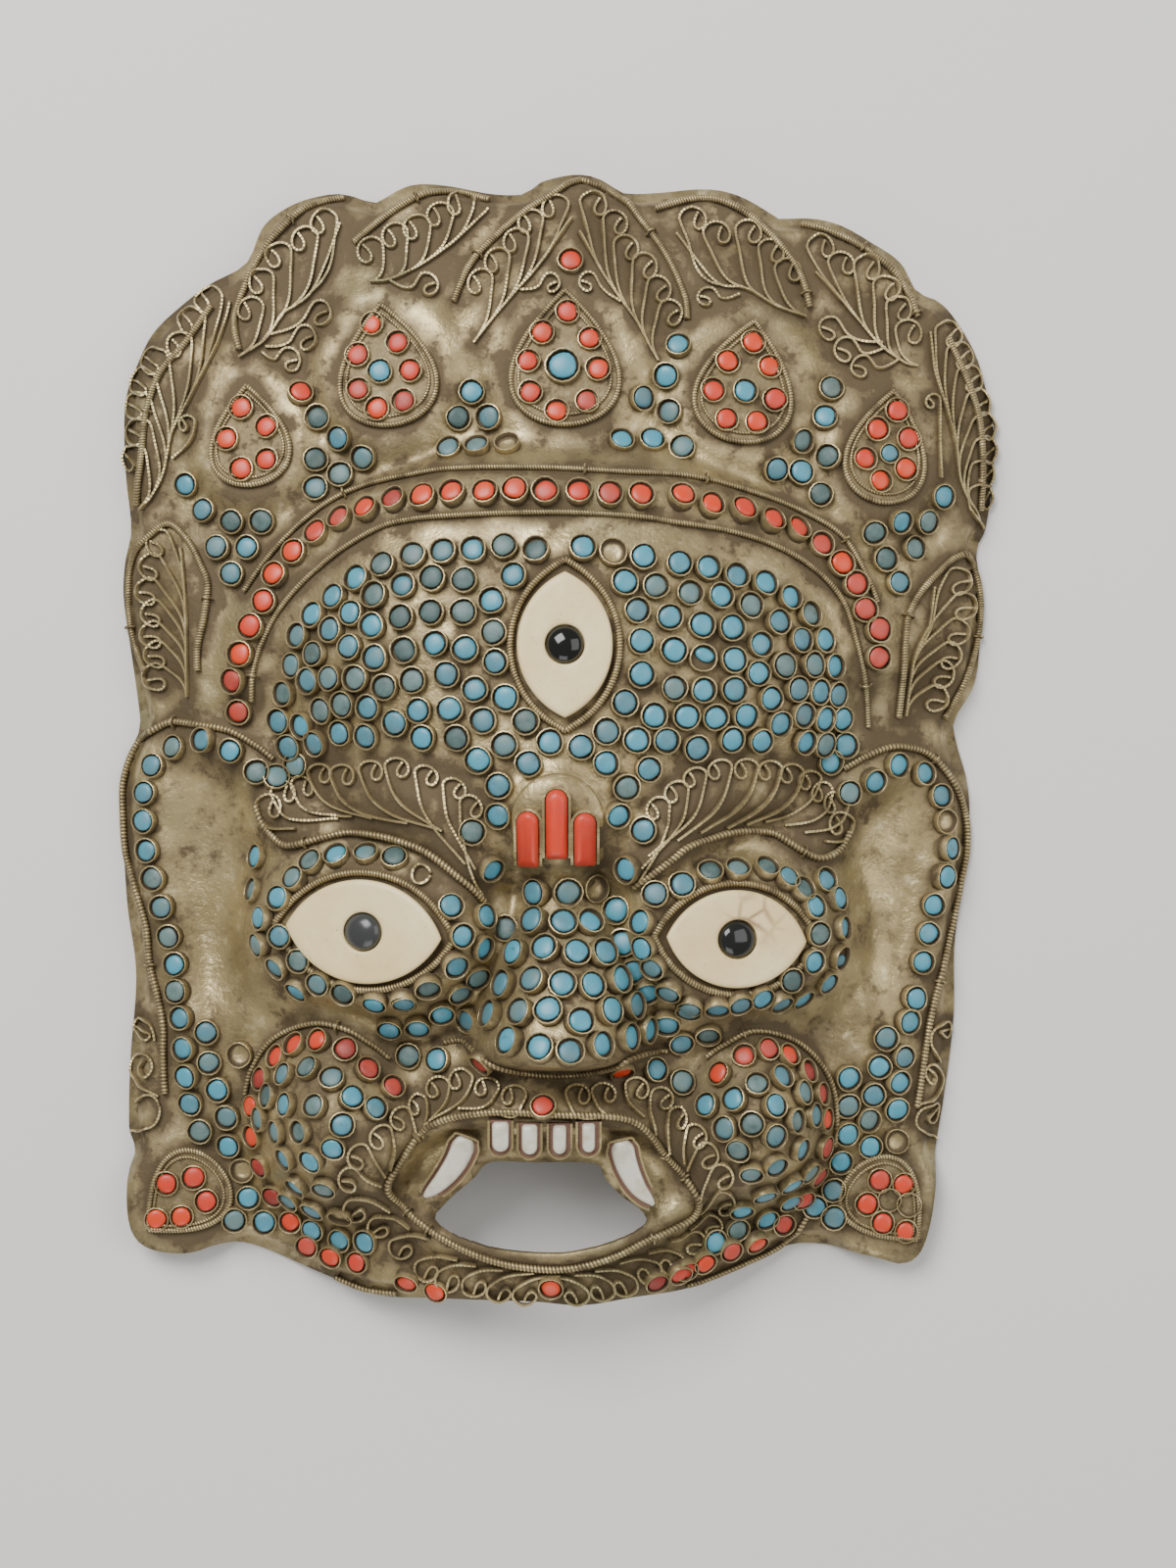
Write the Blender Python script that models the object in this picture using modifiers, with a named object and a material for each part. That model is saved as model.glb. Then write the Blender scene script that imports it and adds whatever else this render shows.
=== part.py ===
"""A mahakala mask: a face embossed in sheet brass, with bone eyes, coral stones and twisted wires.

The mask lies on the back of its rim, face up, with the top of the head towards +Y.
Left and right are the viewer's. Plan positions and relief heights are in drawing millimetres,
which follow MASK_HEIGHT; sheet, wire and stone sizes are real sizes in metres.
"""

import math

import bmesh
import bpy
import numpy as np
from mathutils import Matrix, Vector
from mathutils.bvhtree import BVHTree
from mathutils.geometry import delaunay_2d_cdt

# Driving dimensions, in metres
MASK_HEIGHT = 0.2663
SHEET_THICKNESS = 0.0010
RIM_FLANGE = 0.0014
FLANGE_BAND = 0.7
SOLDER_GAP = 0.0004
WIRE_DIAMETER = 0.0018
FINE_WIRE_DIAMETER = 0.0014
STONE_DIAMETER = 0.0064
STONE_HEIGHT = 0.0022
STONE_UNEVENNESS = 0.06
STONE_SIDES = 6
STONE_TAPER = 0.9
ROW_PITCH = 0.83
ROW_DETAIL = 0.5
BONE_THICKNESS = 0.0026
PUPIL_DIAMETER = 0.0084
PUPIL_HEIGHT = 0.0030
PUPIL_CLEARANCE = 0.0003
TRAY_THICKNESS = 0.0007
TRAY_EDGE = 0.0016
TRAY_STONE_FOOT, TRAY_STONE_STEP = 0.3, 0.05
TRAY_STONE_TURN = 0.29
RING_DETAIL = 0.0001
BAR_WIDTH = 0.0048
BAR_HEIGHT = 0.0032
TOOTH_WIDTH = 0.0046
TOOTH_HEIGHT = 0.0024

# Rounded edges and the floor of the pupil's hole, as shares of the piece's thickness
BONE_EDGE, BAR_EDGE, TOOTH_EDGE, FANG_EDGE = 0.3, 0.35, 0.25, 0.2
HOLE_FLOOR = 0.4

# The drawing is this many millimetres tall, so one drawing millimetre is MM metres
DRAWING_HEIGHT = 266.3
MM = MASK_HEIGHT / DRAWING_HEIGHT

# The mask is drawn as it is sighted from straight above: one unit of the drawing is this many
# millimetres on the floor, and a raised point looks further from the middle of the drawing
SIGHT_UNIT = 0.235
SIGHT_HEIGHT = 560.0
SIGHT_MIDDLE = (600, 800)
SIGHT_POINT = (7.05, -10.8)
SIGHT_ROUNDS = 20

# How far an eye's frame stands out at its tips and sides, in wire clearances
FRAME_TIP_GROWTH, FRAME_SIDE_GROWTH = 5.0, 2.6

# Where the sheet is felt for under a piece: at shares of its outline, within a share of a wire's
# diameter, and at so many places along a wire's straight run
UNDERSIDE_SHARES = (0.35, 0.7, 1.0)
WIRE_REACH = 0.75
WIRE_PROBES = 9

# Mesh spacing of the embossed sheet, in drawing millimetres; the face is an oval with finer facets,
# given as its centre x and y, half width and half height
FACE_SPACING = 7.7
MARGIN_SPACING = 10.8
EDGE_SPACING = 8.4
MOUTH_SPACING = 6.2
EDGE_DETAIL = 3.0
WIRE_SPACING = 8.8
FACE_OVAL = (0.0, -36.0, 78.0, 100.0)
RING_GAPS = (0.6, 2.5)
SEAT_GAP = 2.0
GRID_GAP = 0.62
EDGE_GAP = 1.5

# The cut edge of the sheet as sighted, clockwise from the tip of the middle leaf
OUTLINE = (
    (590, 178), (617, 185), (636, 197), (670, 197), (719, 193), (752, 199), (782, 215), (793, 223),
    (829, 223), (858, 230), (890, 248), (919, 268), (935, 297), (960, 309), (980, 334), (997, 366),
    (1007, 403), (1015, 452), (1011, 505), (1005, 542), (996, 565), (1004, 615), (1000, 656), (994, 699),
    (974, 734), (975, 755), (987, 799), (989, 840), (984, 898), (974, 961), (973, 1038), (963, 1119),
    (955, 1168), (945, 1247), (925, 1285), (888, 1277), (819, 1268), (779, 1281), (739, 1299), (700, 1315),
    (645, 1324), (594, 1332), (543, 1328), (482, 1326), (430, 1324), (385, 1321), (326, 1298), (279, 1277),
    (253, 1268), (224, 1266), (192, 1274), (143, 1261), (134, 1200), (140, 1169), (132, 1155), (133, 1081),
    (139, 995), (130, 924), (125, 842), (125, 801), (131, 771), (142, 746), (142, 724), (133, 660),
    (126, 609), (128, 571), (134, 540), (128, 479), (128, 410), (142, 368), (157, 339), (184, 313),
    (214, 290), (251, 269), (268, 232), (291, 213), (318, 202), (350, 198), (383, 207), (402, 196),
    (425, 188), (459, 190), (501, 198), (536, 198), (551, 186),
)

# The pierced mouth as sighted, clockwise from its left corner
MOUTH = (
    (444, 1244), (451, 1230), (467, 1215), (482, 1203), (500, 1186), (543, 1186), (606, 1187), (618, 1203),
    (635, 1220), (653, 1233), (660, 1246), (645, 1260), (614, 1273), (573, 1281), (543, 1280), (502, 1275),
    (467, 1262),
)

# Heights of the embossing, in drawing millimetres
ROLL_RISE, ROLL_WIDTH = 6.0, 3.4
FORM_FADE = 22.0
CHIN_X, CHIN_HALF_WIDTH, CHIN_LIFT = -3.0, 68.0, 21.0
CHIN_TOP_Y, CHIN_DEPTH = -98.0, 26.0
CHIN_FLATNESS = 0.75

# Domes of the embossing: centre x and y, half width, half height, rise, how square the dome is, and
# how softly its foot runs out
HEAD = (0.0, -4.0, 108.0, 150.0, 16.0, 2.0, 1.0)
FOREHEAD = (1.0, 18.0, 69.0, 54.0, 16.0, 4.0, 1.2)
MIDDLE_FACE = (0.0, -56.0, 62.0, 75.0, 8.0, 2.0, 2.0)
EYE_MOUNDS = ((-43.7, -43.5, 36.0, 29.0, 12.0, 3.0, 1.5), (40.5, -45.0, 35.0, 28.0, 12.0, 3.0, 1.5))
CHEEKS = ((-52.0, -90.0, 21.5, 28.0, 20.0, 2.0, 1.5), (47.0, -90.0, 19.5, 27.5, 20.0, 2.0, 1.5))
MUZZLE = (-3.0, -96.0, 48.0, 31.0, 14.0, 2.0, 1.4)
EAR_HOLLOWS = ((-81.0, -34.0, 14.0, 34.0, -5.0, 3.0, 1.5), (77.5, -34.0, 13.5, 32.0, -5.0, 3.0, 1.5))
CORAL_BOSS = (0.1, -19.5, 14.5, 14.0, 3.5, 4.0, 2.0)

# Ridges of the embossing as sighted, each with the height it stands at
DIADEM_LINE = (
    (243, 690), (243, 667), (254, 639), (268, 613), (298, 562), (345, 527), (400, 507), (460, 500),
    (525, 498), (591, 499), (655, 503), (728, 512), (790, 529), (840, 554), (875, 595), (896, 640),
    (898, 671),
)
BROW_LINES = (
    ((268, 832), (302, 835), (352, 822), (407, 822), (450, 842), (482, 882)),
    ((657, 892), (700, 840), (750, 820), (800, 828), (848, 848)),
)
EAR_RIMS = (
    ((261, 787), (234, 766), (204, 755), (175, 762), (154, 781), (145, 838), (154, 897), (171, 956),
     (180, 1020), (188, 1099)),
    ((868, 809), (894, 798), (918, 781), (945, 789), (962, 812), (971, 866), (954, 924), (943, 982),
     (929, 1043), (919, 1105)),
)
LEAF_LINES = (
    ((228, 350), (182, 420), (160, 480)),
    ((244, 348), (285, 300), (335, 225)),
    ((384, 262), (425, 232), (470, 208)),
    ((484, 350), (526, 299), (584, 225)),
    ((590, 238), (649, 329), (671, 368)),
    ((728, 280), (770, 270), (800, 300)),
    ((850, 300), (890, 310), (925, 350)),
    ((950, 350), (970, 440), (1000, 530)),
    ((176, 560), (190, 639), (193, 711)),
    ((976, 585), (945, 655), (925, 725)),
)
DIADEM_HEIGHT, BROW_HEIGHT, EAR_HEIGHT, LEAF_HEIGHT = 25.0, 42.0, 13.0, 11.0
DIADEM_RIDGE = (9.5, 3.0)
BROW_RIDGE = (11.0, 5.5)
EAR_RIDGE = (7.5, 3.0)
LEAF_RIDGE = (9.0, 2.2)

# The nose: it widens and rises from the bridge down to the tip, then stops short above the lip
NOSE_X = 1.0
BRIDGE_Y, TIP_Y, NOSE_END_Y = -31.0, -66.0, -76.5
BRIDGE_HALF_WIDTH, WING_HALF_WIDTH = 9.0, 22.0
BRIDGE_RISE, TIP_RISE = 4.0, 21.0
NOSE_FADE, NOSE_UNDERCUT = 12.0, 5.0
NOSE_SPREAD, NOSE_SQUARENESS = 1.3, 2.4

# The lips: a raised ring round a sunk bed for the teeth, with its place and width as shares of the
# mouth's size
LIPS_CENTRE, LIPS_HALF_WIDTH, LIPS_HALF_HEIGHT = (-4.0, -101.5), 35.0, 17.0
LIP_RISE, LIP_PLACE, LIP_WIDTH = 3.0, 1.06, 0.16
MOUTH_DEPTH, MOUTH_BANK = 5.0, 0.3

# Seats of the eyes and jewels: each is flat out to its margin and blends into the embossing beyond,
# at shares of its own size
SEAT_MARGIN, SEAT_REACH, SEAT_BLEND, SEAT_STEP = 1.5, 1.55, 0.5, 5.0
SEAT_CORNERS = 12
EYE_SEAT_LIFT, CROWN_SEAT_LIFT = 0.5, 2.5

# Almond eyes: centre x and y, length, height, and how far the long axis turns, in degrees
EYES = {
    "third_eye": (1.9, 20.2, 32.6, 21.3, 90.0),
    "left_eye": (-43.5, -44.0, 36.0, 23.4, -4.0),
    "right_eye": (40.5, -45.6, 32.0, 22.0, -3.0),
}

# Crown jewels: centre x and y, height, width, lean in degrees, and the coral stones round each;
# one with more stones than JEWEL_RING has another in its middle
CROWN_JEWELS = (
    (-72.0, 70.6, 24.2, 19.4, 4.0, 5),
    (-39.8, 86.6, 29.7, 23.3, 6.0, 7),
    (1.7, 87.9, 32.7, 25.8, 0.0, 8),
    (43.6, 82.7, 29.7, 23.3, -9.0, 7),
    (76.9, 68.1, 27.4, 19.6, -8.0, 6),
)

JEWEL_RING = 6

# Corner jewels on the ear lobes: the same values
CORNER_JEWELS = {
    "corner_jewel_left": (-88.6, -108.5, 23.0, 19.4, 132.0, 5),
    "corner_jewel_right": (77.6, -110.0, 23.0, 19.4, -139.0, 5),
}

# Coral bars between the brows: centre x and y, and length
CORAL_BARS = {
    "coral_bar_left": (-6.3, -23.1, 12.4),
    "coral_bar_middle": (0.1, -19.7, 15.4),
    "coral_bar_right": (6.4, -23.1, 11.8),
}

# Front teeth: centre x and y, and length
TEETH = ((-12.5, -89.8, 7.4), (-6.0, -90.6, 7.4), (0.7, -90.6, 7.4), (7.2, -90.2, 7.4))

# Fangs as sighted: the curve each follows from root to tip, and its greatest width
FANGS = {
    "fang_left": ((477, 1158), (468, 1180), (453, 1199), (436, 1213)),
    "fang_right": ((633, 1161), (639, 1184), (650, 1205), (666, 1222)),
}
FANG_WIDTH = 5.8
FANG_SPACING = 2.4
FANG_TIP = 0.1

# Wires soldered round the forms, each a line on the sheet as sighted
HEAVY_WIRES = {
    "ear_wire_left": (
        (278, 775), (261, 762), (236, 748), (212, 742), (178, 737), (156, 747), (141, 762), (128, 795),
        (127, 828), (131, 873), (141, 907), (151, 944), (155, 981), (162, 1015), (168, 1046), (168, 1081),
        (169, 1115)),
    "ear_wire_right": (
        (861, 786), (893, 768), (918, 763), (945, 770), (965, 790), (982, 830), (985, 866), (978, 900),
        (970, 940), (956, 1003), (948, 1040), (942, 1080), (935, 1130)),
    "brow_wire_left": (
        (263, 822), (271, 842), (288, 860), (302, 862), (326, 856), (355, 850), (385, 851), (418, 860),
        (441, 871), (461, 887), (478, 903), (492, 920)),
    "brow_wire_right": (
        (647, 905), (686, 875), (700, 864), (725, 854), (753, 847), (784, 849), (805, 860), (818, 868),
        (835, 875), (852, 868), (864, 849)),
    "lip_wire": (
        (426, 1158), (451, 1144), (482, 1137), (522, 1134), (573, 1136), (614, 1138), (645, 1144),
        (665, 1158), (682, 1179), (700, 1199), (712, 1222), (706, 1240), (686, 1252), (655, 1266),
        (624, 1281), (573, 1293), (522, 1289), (482, 1277), (451, 1262), (435, 1252), (416, 1236),
        (394, 1212), (408, 1182)),
    "leaf_wire_1": ((216, 312), (188, 352), (164, 380), (150, 420), (146, 470), (143, 515)),
    "leaf_wire_2": (
        (244, 357), (240, 328), (246, 304), (258, 278), (276, 249), (294, 229), (323, 211), (349, 206)),
    "leaf_wire_3": ((364, 249), (387, 227), (424, 204), (467, 199), (496, 207)),
    "leaf_wire_4": ((463, 309), (478, 274), (498, 250), (531, 221), (563, 201), (588, 190)),
    "leaf_wire_5": ((598, 192), (631, 205), (663, 238), (684, 270), (698, 303), (702, 327)),
    "leaf_wire_6": ((668, 215), (719, 205), (756, 217), (789, 244), (813, 276), (825, 313)),
    "leaf_wire_7": ((818, 232), (847, 239), (881, 256), (910, 279), (927, 305), (936, 324)),
    "leaf_wire_8": ((966, 345), (984, 386), (997, 430), (1000, 480), (998, 520)),
    "leaf_wire_9": (
        (151, 684), (146, 673), (137, 646), (134, 608), (137, 576), (152, 549), (173, 535), (192, 551),
        (205, 576), (212, 597), (209, 629), (203, 660), (203, 684)),
    "leaf_wire_10": (
        (961, 732), (980, 699), (994, 656), (998, 613), (991, 580), (980, 566), (950, 591), (928, 623),
        (922, 656), (919, 699), (915, 732)),
}
FINE_WIRES = {
    "cheek_wire_left": (
        (251, 1118), (257, 1093), (273, 1067), (298, 1051), (326, 1044), (355, 1051), (377, 1065),
        (396, 1081)),
    "cheek_wire_right": (
        (721, 1080), (743, 1064), (767, 1052), (795, 1056), (819, 1069), (838, 1089), (849, 1113),
        (852, 1141), (850, 1168)),
    "nose_wire": (
        (453, 1064), (471, 1062), (490, 1076), (506, 1086), (543, 1094), (584, 1095), (620, 1089),
        (645, 1078), (680, 1073)),
    "chin_wire_left": ((343, 1302), (371, 1314), (406, 1319)),
    "chin_wire_right": ((830, 1228), (819, 1247), (795, 1271), (759, 1289), (720, 1305), (700, 1311)),
}

BRASS = (0.52, 0.45, 0.30)
SILVERED_BRASS = (0.62, 0.57, 0.44)
CORAL = (0.78, 0.13, 0.08)
BONE = (0.90, 0.84, 0.68)
BLACK_GLASS = (0.02, 0.02, 0.025)
TOOTH_WHITE = (0.82, 0.82, 0.76)


# Curves and distances in the plan

def smooth_line(points, spacing, closed=False):
    """Evenly spaced points on a Catmull-Rom curve through the given ones."""
    given = np.array(points, float)
    count = len(given)
    fine = []
    for i in range(count if closed else count - 1):
        if closed:
            a, b, c, d = (given[(i + k) % count] for k in (-1, 0, 1, 2))
        else:
            a, b, c, d = (given[min(max(i + k, 0), count - 1)] for k in (-1, 0, 1, 2))
        for t in np.linspace(0.0, 1.0, 16, endpoint=False):
            fine.append(0.5 * (2 * b + (c - a) * t + (2 * a - 5 * b + 4 * c - d) * t**2
                               + (3 * b - a - 3 * c + d) * t**3))
    fine.append(given[0] if closed else given[-1])
    fine = np.array(fine)
    along = np.concatenate([[0.0], np.cumsum(np.linalg.norm(np.diff(fine, axis=0), axis=1))])
    steps = max(3 if closed else 1, round(along[-1] / spacing))
    wanted = np.linspace(0.0, along[-1], steps + 1)
    if closed:
        wanted = wanted[:-1]
    return np.stack([np.interp(wanted, along, fine[:, k]) for k in (0, 1)], axis=1)


def distance_to_line(x, y, line, closed=False):
    """The distance from each plan position to a chain of straight runs."""
    ends = np.roll(line, -1, axis=0) if closed else line[1:]
    nearest = np.full(np.shape(x), np.inf)
    for (ax, ay), (bx, by) in zip(line, ends):
        dx, dy = bx - ax, by - ay
        t = np.clip(((x - ax) * dx + (y - ay) * dy) / (dx * dx + dy * dy), 0.0, 1.0)
        nearest = np.minimum(nearest, np.hypot(x - ax - t * dx, y - ay - t * dy))
    return nearest


def inside_line(x, y, line):
    """True where a plan position lies inside a closed line."""
    inside = np.zeros(np.shape(x), bool)
    for (ax, ay), (bx, by) in zip(line, np.roll(line, -1, axis=0)):
        crosses = (ay > y) != (by > y)
        run = np.where(crosses, by - ay, 1.0)
        inside ^= crosses & (x < (bx - ax) * (y - ay) / run + ax)
    return inside


def smoothstep(t):
    t = np.clip(t, 0.0, 1.0)
    return t * t * (3.0 - 2.0 * t)


def sighted(points, height):
    """Plan positions, in drawing millimetres, of sighted points at a known height."""
    offsets = (np.array(points, float) - SIGHT_MIDDLE) * (1.0, -1.0) * SIGHT_UNIT
    return offsets * (1.0 - np.asarray(height)[..., None] / SIGHT_HEIGHT) + SIGHT_POINT


def sighted_on(points, surface):
    """Plan positions of sighted points that lie on a surface, found by closing in on its height."""
    height = np.zeros(len(points))
    for _ in range(SIGHT_ROUNDS):
        x, y = sighted(points, height).T
        height += (surface(x, y) - height) / 2
    return sighted(points, height)


# The embossed face

def chin(x, y):
    """How much of the chin's lift a plan position has, from 0 to 1."""
    across = np.clip((x - CHIN_X) / CHIN_HALF_WIDTH, -1.0, 1.0)
    return (1.0 - across**2) ** 2 * smoothstep((CHIN_TOP_Y - y) / CHIN_DEPTH)


def rim_height(x, y):
    """Height of the cut edge: on the floor all round, and lifted under the chin."""
    return SHEET_THICKNESS / MM + CHIN_LIFT * chin(x, y)


def dome(x, y, form):
    centre_x, centre_y, half_width, half_height, rise, squareness, foot = form
    r = np.hypot((x - centre_x) / half_width, (y - centre_y) / half_height)
    return rise * (1.0 - np.clip(r, 0.0, 1.0) ** squareness) ** foot


def ridge(x, y, line, size):
    half_width, rise = size
    d = distance_to_line(x, y, line)
    return rise * (1.0 - np.clip(d / half_width, 0.0, 1.0) ** 2) ** 2


def nose(x, y):
    down = np.clip((BRIDGE_Y - y) / (BRIDGE_Y - TIP_Y), 0.0, 1.0)
    half_width = BRIDGE_HALF_WIDTH + (WING_HALF_WIDTH - BRIDGE_HALF_WIDTH) * down**NOSE_SPREAD
    rise = BRIDGE_RISE + (TIP_RISE - BRIDGE_RISE) * down
    across = np.clip(np.abs(x - NOSE_X) / half_width, 0.0, 1.0)
    ends = smoothstep((BRIDGE_Y + NOSE_FADE - y) / NOSE_FADE) * smoothstep((y - NOSE_END_Y) / NOSE_UNDERCUT)
    return rise * (1.0 - across**NOSE_SQUARENESS) * ends


def lips(x, y):
    r = np.hypot((x - LIPS_CENTRE[0]) / LIPS_HALF_WIDTH, (y - LIPS_CENTRE[1]) / LIPS_HALF_HEIGHT)
    ring = LIP_RISE * np.exp(-(((r - LIP_PLACE) / LIP_WIDTH) ** 2))
    return ring - MOUTH_DEPTH * smoothstep((1.0 - r) / MOUTH_BANK)


EDGE = smooth_line(sighted_on(OUTLINE, rim_height), EDGE_DETAIL, closed=True)
DIADEM = sighted(DIADEM_LINE, DIADEM_HEIGHT)
RIDGES = [(DIADEM, DIADEM_RIDGE)]
RIDGES += [(sighted(line, BROW_HEIGHT), BROW_RIDGE) for line in BROW_LINES]
RIDGES += [(sighted(line, EAR_HEIGHT), EAR_RIDGE) for line in EAR_RIMS]
RIDGES += [(sighted(line, LEAF_HEIGHT), LEAF_RIDGE) for line in LEAF_LINES]


def free_relief(x, y):
    """Height of the sheet's front above the floor, before the seats are flattened."""
    inset = distance_to_line(x, y, EDGE, closed=True) * np.where(inside_line(x, y, EDGE), 1.0, -1.0)
    inset = inset - RIM_FLANGE / MM
    roll = ROLL_RISE * (1.0 - CHIN_FLATNESS * chin(x, y)) * smoothstep(inset / ROLL_WIDTH)
    forms = nose(x, y) + lips(x, y)
    for form in (HEAD, FOREHEAD, MIDDLE_FACE, MUZZLE, CORAL_BOSS, *EYE_MOUNDS, *CHEEKS, *EAR_HOLLOWS):
        forms = forms + dome(x, y, form)
    for line, size in RIDGES:
        forms = forms + ridge(x, y, line, size)
    return rim_height(x, y) + roll + forms * smoothstep(inset / FORM_FADE)


def make_seat(centre_x, centre_y, length, width, turn, lift):
    """A flat place in the embossing, tilted as the form beneath it is."""
    steps = np.array([(0, 0), (1, 0), (-1, 0), (0, 1), (0, -1)]) * SEAT_STEP
    z = free_relief(centre_x + steps[:, 0], centre_y + steps[:, 1])
    return {
        "centre": np.array((centre_x, centre_y)),
        "height": z.mean() + lift,
        "slope": np.array((z[1] - z[2], z[3] - z[4])) / (2 * SEAT_STEP),
        "half": np.array((length, width)) / 2 + SEAT_MARGIN,
        "turn": math.radians(turn),
    }


SEATS = {name: make_seat(*eye, EYE_SEAT_LIFT) for name, eye in EYES.items()}
for number, (jewel_x, jewel_y, tall, wide, lean, _) in enumerate(CROWN_JEWELS, start=1):
    SEATS[f"crown_jewel_{number}"] = make_seat(jewel_x, jewel_y, tall, wide, 90.0 + lean, CROWN_SEAT_LIFT)
for name, (jewel_x, jewel_y, tall, wide, lean, _) in CORNER_JEWELS.items():
    SEATS[name] = make_seat(jewel_x, jewel_y, tall, wide, 90.0 + lean, EYE_SEAT_LIFT)


def relief(x, y):
    """Height of the sheet's front above the floor, in drawing millimetres."""
    z = free_relief(x, y)
    for seat in SEATS.values():
        dx, dy = x - seat["centre"][0], y - seat["centre"][1]
        c, s = math.cos(seat["turn"]), math.sin(seat["turn"])
        r = np.hypot((dx * c + dy * s) / seat["half"][0], (dy * c - dx * s) / seat["half"][1])
        flat = seat["height"] + seat["slope"][0] * dx + seat["slope"][1] * dy
        z = z + (flat - z) * smoothstep((SEAT_REACH - r) / SEAT_BLEND)
    return z


MOUTH_EDGE = sighted_on(MOUTH, relief)


def seat_ring(seat):
    """Points round a seat, so that the sheet's facets keep it flat."""
    turns = np.linspace(0.0, 2 * math.pi, SEAT_CORNERS, endpoint=False)
    c, s = math.cos(seat["turn"]), math.sin(seat["turn"])
    oval = np.stack([np.cos(turns), np.sin(turns)], axis=1) * seat["half"]
    return seat["centre"] + oval @ np.array(((c, s), (-s, c)))


# Blender helpers

def new_collection(name):
    collection = bpy.data.collections.new(name)
    bpy.context.scene.collection.children.link(collection)
    return collection


def make_material(name, colour, roughness, metallic):
    material = bpy.data.materials.new(name)
    material.use_nodes = True
    shader = material.node_tree.nodes["Principled BSDF"]
    shader.inputs["Base Color"].default_value = (*colour, 1.0)
    shader.inputs["Roughness"].default_value = roughness
    shader.inputs["Metallic"].default_value = metallic
    material.diffuse_color = (*colour, 1.0)
    return material


def add_object(name, mesh, material, matrix=None):
    obj = bpy.data.objects.new(name, mesh)
    mask.objects.link(obj)
    obj.data.materials.clear()
    obj.data.materials.append(material)
    if matrix is not None:
        obj.matrix_world = matrix
    return obj


def mesh_from(bm, name):
    mesh = bpy.data.meshes.new(name)
    bm.to_mesh(mesh)
    bm.free()
    return mesh


def baked(obj, weld=1e-6):
    """The object as a plain mesh object, with its caps welded and its curve or modifiers gone."""
    bpy.context.view_layer.update()
    graph = bpy.context.evaluated_depsgraph_get()
    mesh = bpy.data.meshes.new_from_object(obj.evaluated_get(graph), depsgraph=graph)
    bm = bmesh.new()
    bm.from_mesh(mesh)
    bmesh.ops.remove_doubles(bm, verts=bm.verts, dist=weld)
    bm.to_mesh(mesh)
    bm.free()
    made = bpy.data.objects.new("baked", mesh)
    mask.objects.link(made)
    made.matrix_world = obj.matrix_world.copy()
    name, material = obj.name, obj.active_material
    bpy.data.objects.remove(obj)
    made.name = name
    made.data.materials.clear()
    made.data.materials.append(material)
    return made


def fuse(pieces):
    """The first piece with the others joined to it."""
    whole = pieces[0]
    for piece in pieces[1:]:
        join = whole.modifiers.new("Join", "BOOLEAN")
        join.operation = "UNION"
        join.object = piece
    made = baked(whole, weld=1e-8)
    for piece in pieces[1:]:
        bpy.data.objects.remove(piece)
    return made


def cut(obj, cutter):
    hole = obj.modifiers.new("Hole", "BOOLEAN")
    hole.operation = "DIFFERENCE"
    hole.object = cutter
    made = baked(obj)
    bpy.data.objects.remove(cutter)
    return made


def flat_plate(name, outline, thickness, edge_share, material):
    """A plate with its underside at z = 0, its edges rounded by a share of its thickness."""
    round_edge = thickness * edge_share
    curve = bpy.data.curves.new(name, "CURVE")
    curve.dimensions = "2D"
    curve.fill_mode = "BOTH"
    curve.extrude = thickness / 2 - round_edge
    curve.bevel_depth = round_edge
    curve.bevel_resolution = 0
    curve.offset = -round_edge
    spline = curve.splines.new("POLY")
    spline.points.add(len(outline) - 1)
    for point, (x, y) in zip(spline.points, outline):
        point.co = (x, y, 0.0, 1.0)
    spline.use_cyclic_u = True
    obj = bpy.data.objects.new(name, curve)
    mask.objects.link(obj)
    obj.data.materials.append(material)
    made = baked(obj)
    made.data.transform(Matrix.Translation((0.0, 0.0, thickness / 2)))
    return made


def tube(name, points, diameter, material, closed=False):
    """A round wire through points in metres."""
    curve = bpy.data.curves.new(name, "CURVE")
    curve.dimensions = "3D"
    curve.bevel_depth = diameter / 2
    curve.bevel_resolution = 0
    curve.use_fill_caps = not closed
    spline = curve.splines.new("POLY")
    spline.points.add(len(points) - 1)
    for point, place in zip(spline.points, points):
        point.co = (*place, 1.0)
    spline.use_cyclic_u = closed
    obj = bpy.data.objects.new(name, curve)
    mask.objects.link(obj)
    obj.data.materials.append(material)
    return baked(obj)


def almond(length, height, steps=8):
    """The pointed oval where two circles cross, long axis along X, anticlockwise."""
    radius = (length**2 + height**2) / (4 * height)
    reach = math.asin(length / 2 / radius)
    turns = np.linspace(-reach, reach, steps, endpoint=False)
    lower = [(radius * math.sin(t), radius - height / 2 - radius * math.cos(t)) for t in turns]
    return lower + [(-x, -y) for x, y in lower]


def teardrop(tall, wide, steps=16):
    """A drop with its point up, about its middle, anticlockwise from the bottom."""
    turns = np.linspace(math.pi, 3 * math.pi, steps, endpoint=False)
    widest = 4 / (3 * math.sqrt(3))
    return [(-wide / 2 * math.sin(t) * abs(math.sin(t / 2)) / widest, tall / 2 * math.cos(t)) for t in turns]


# The front of the sheet, as facets to rest other pieces on

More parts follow.
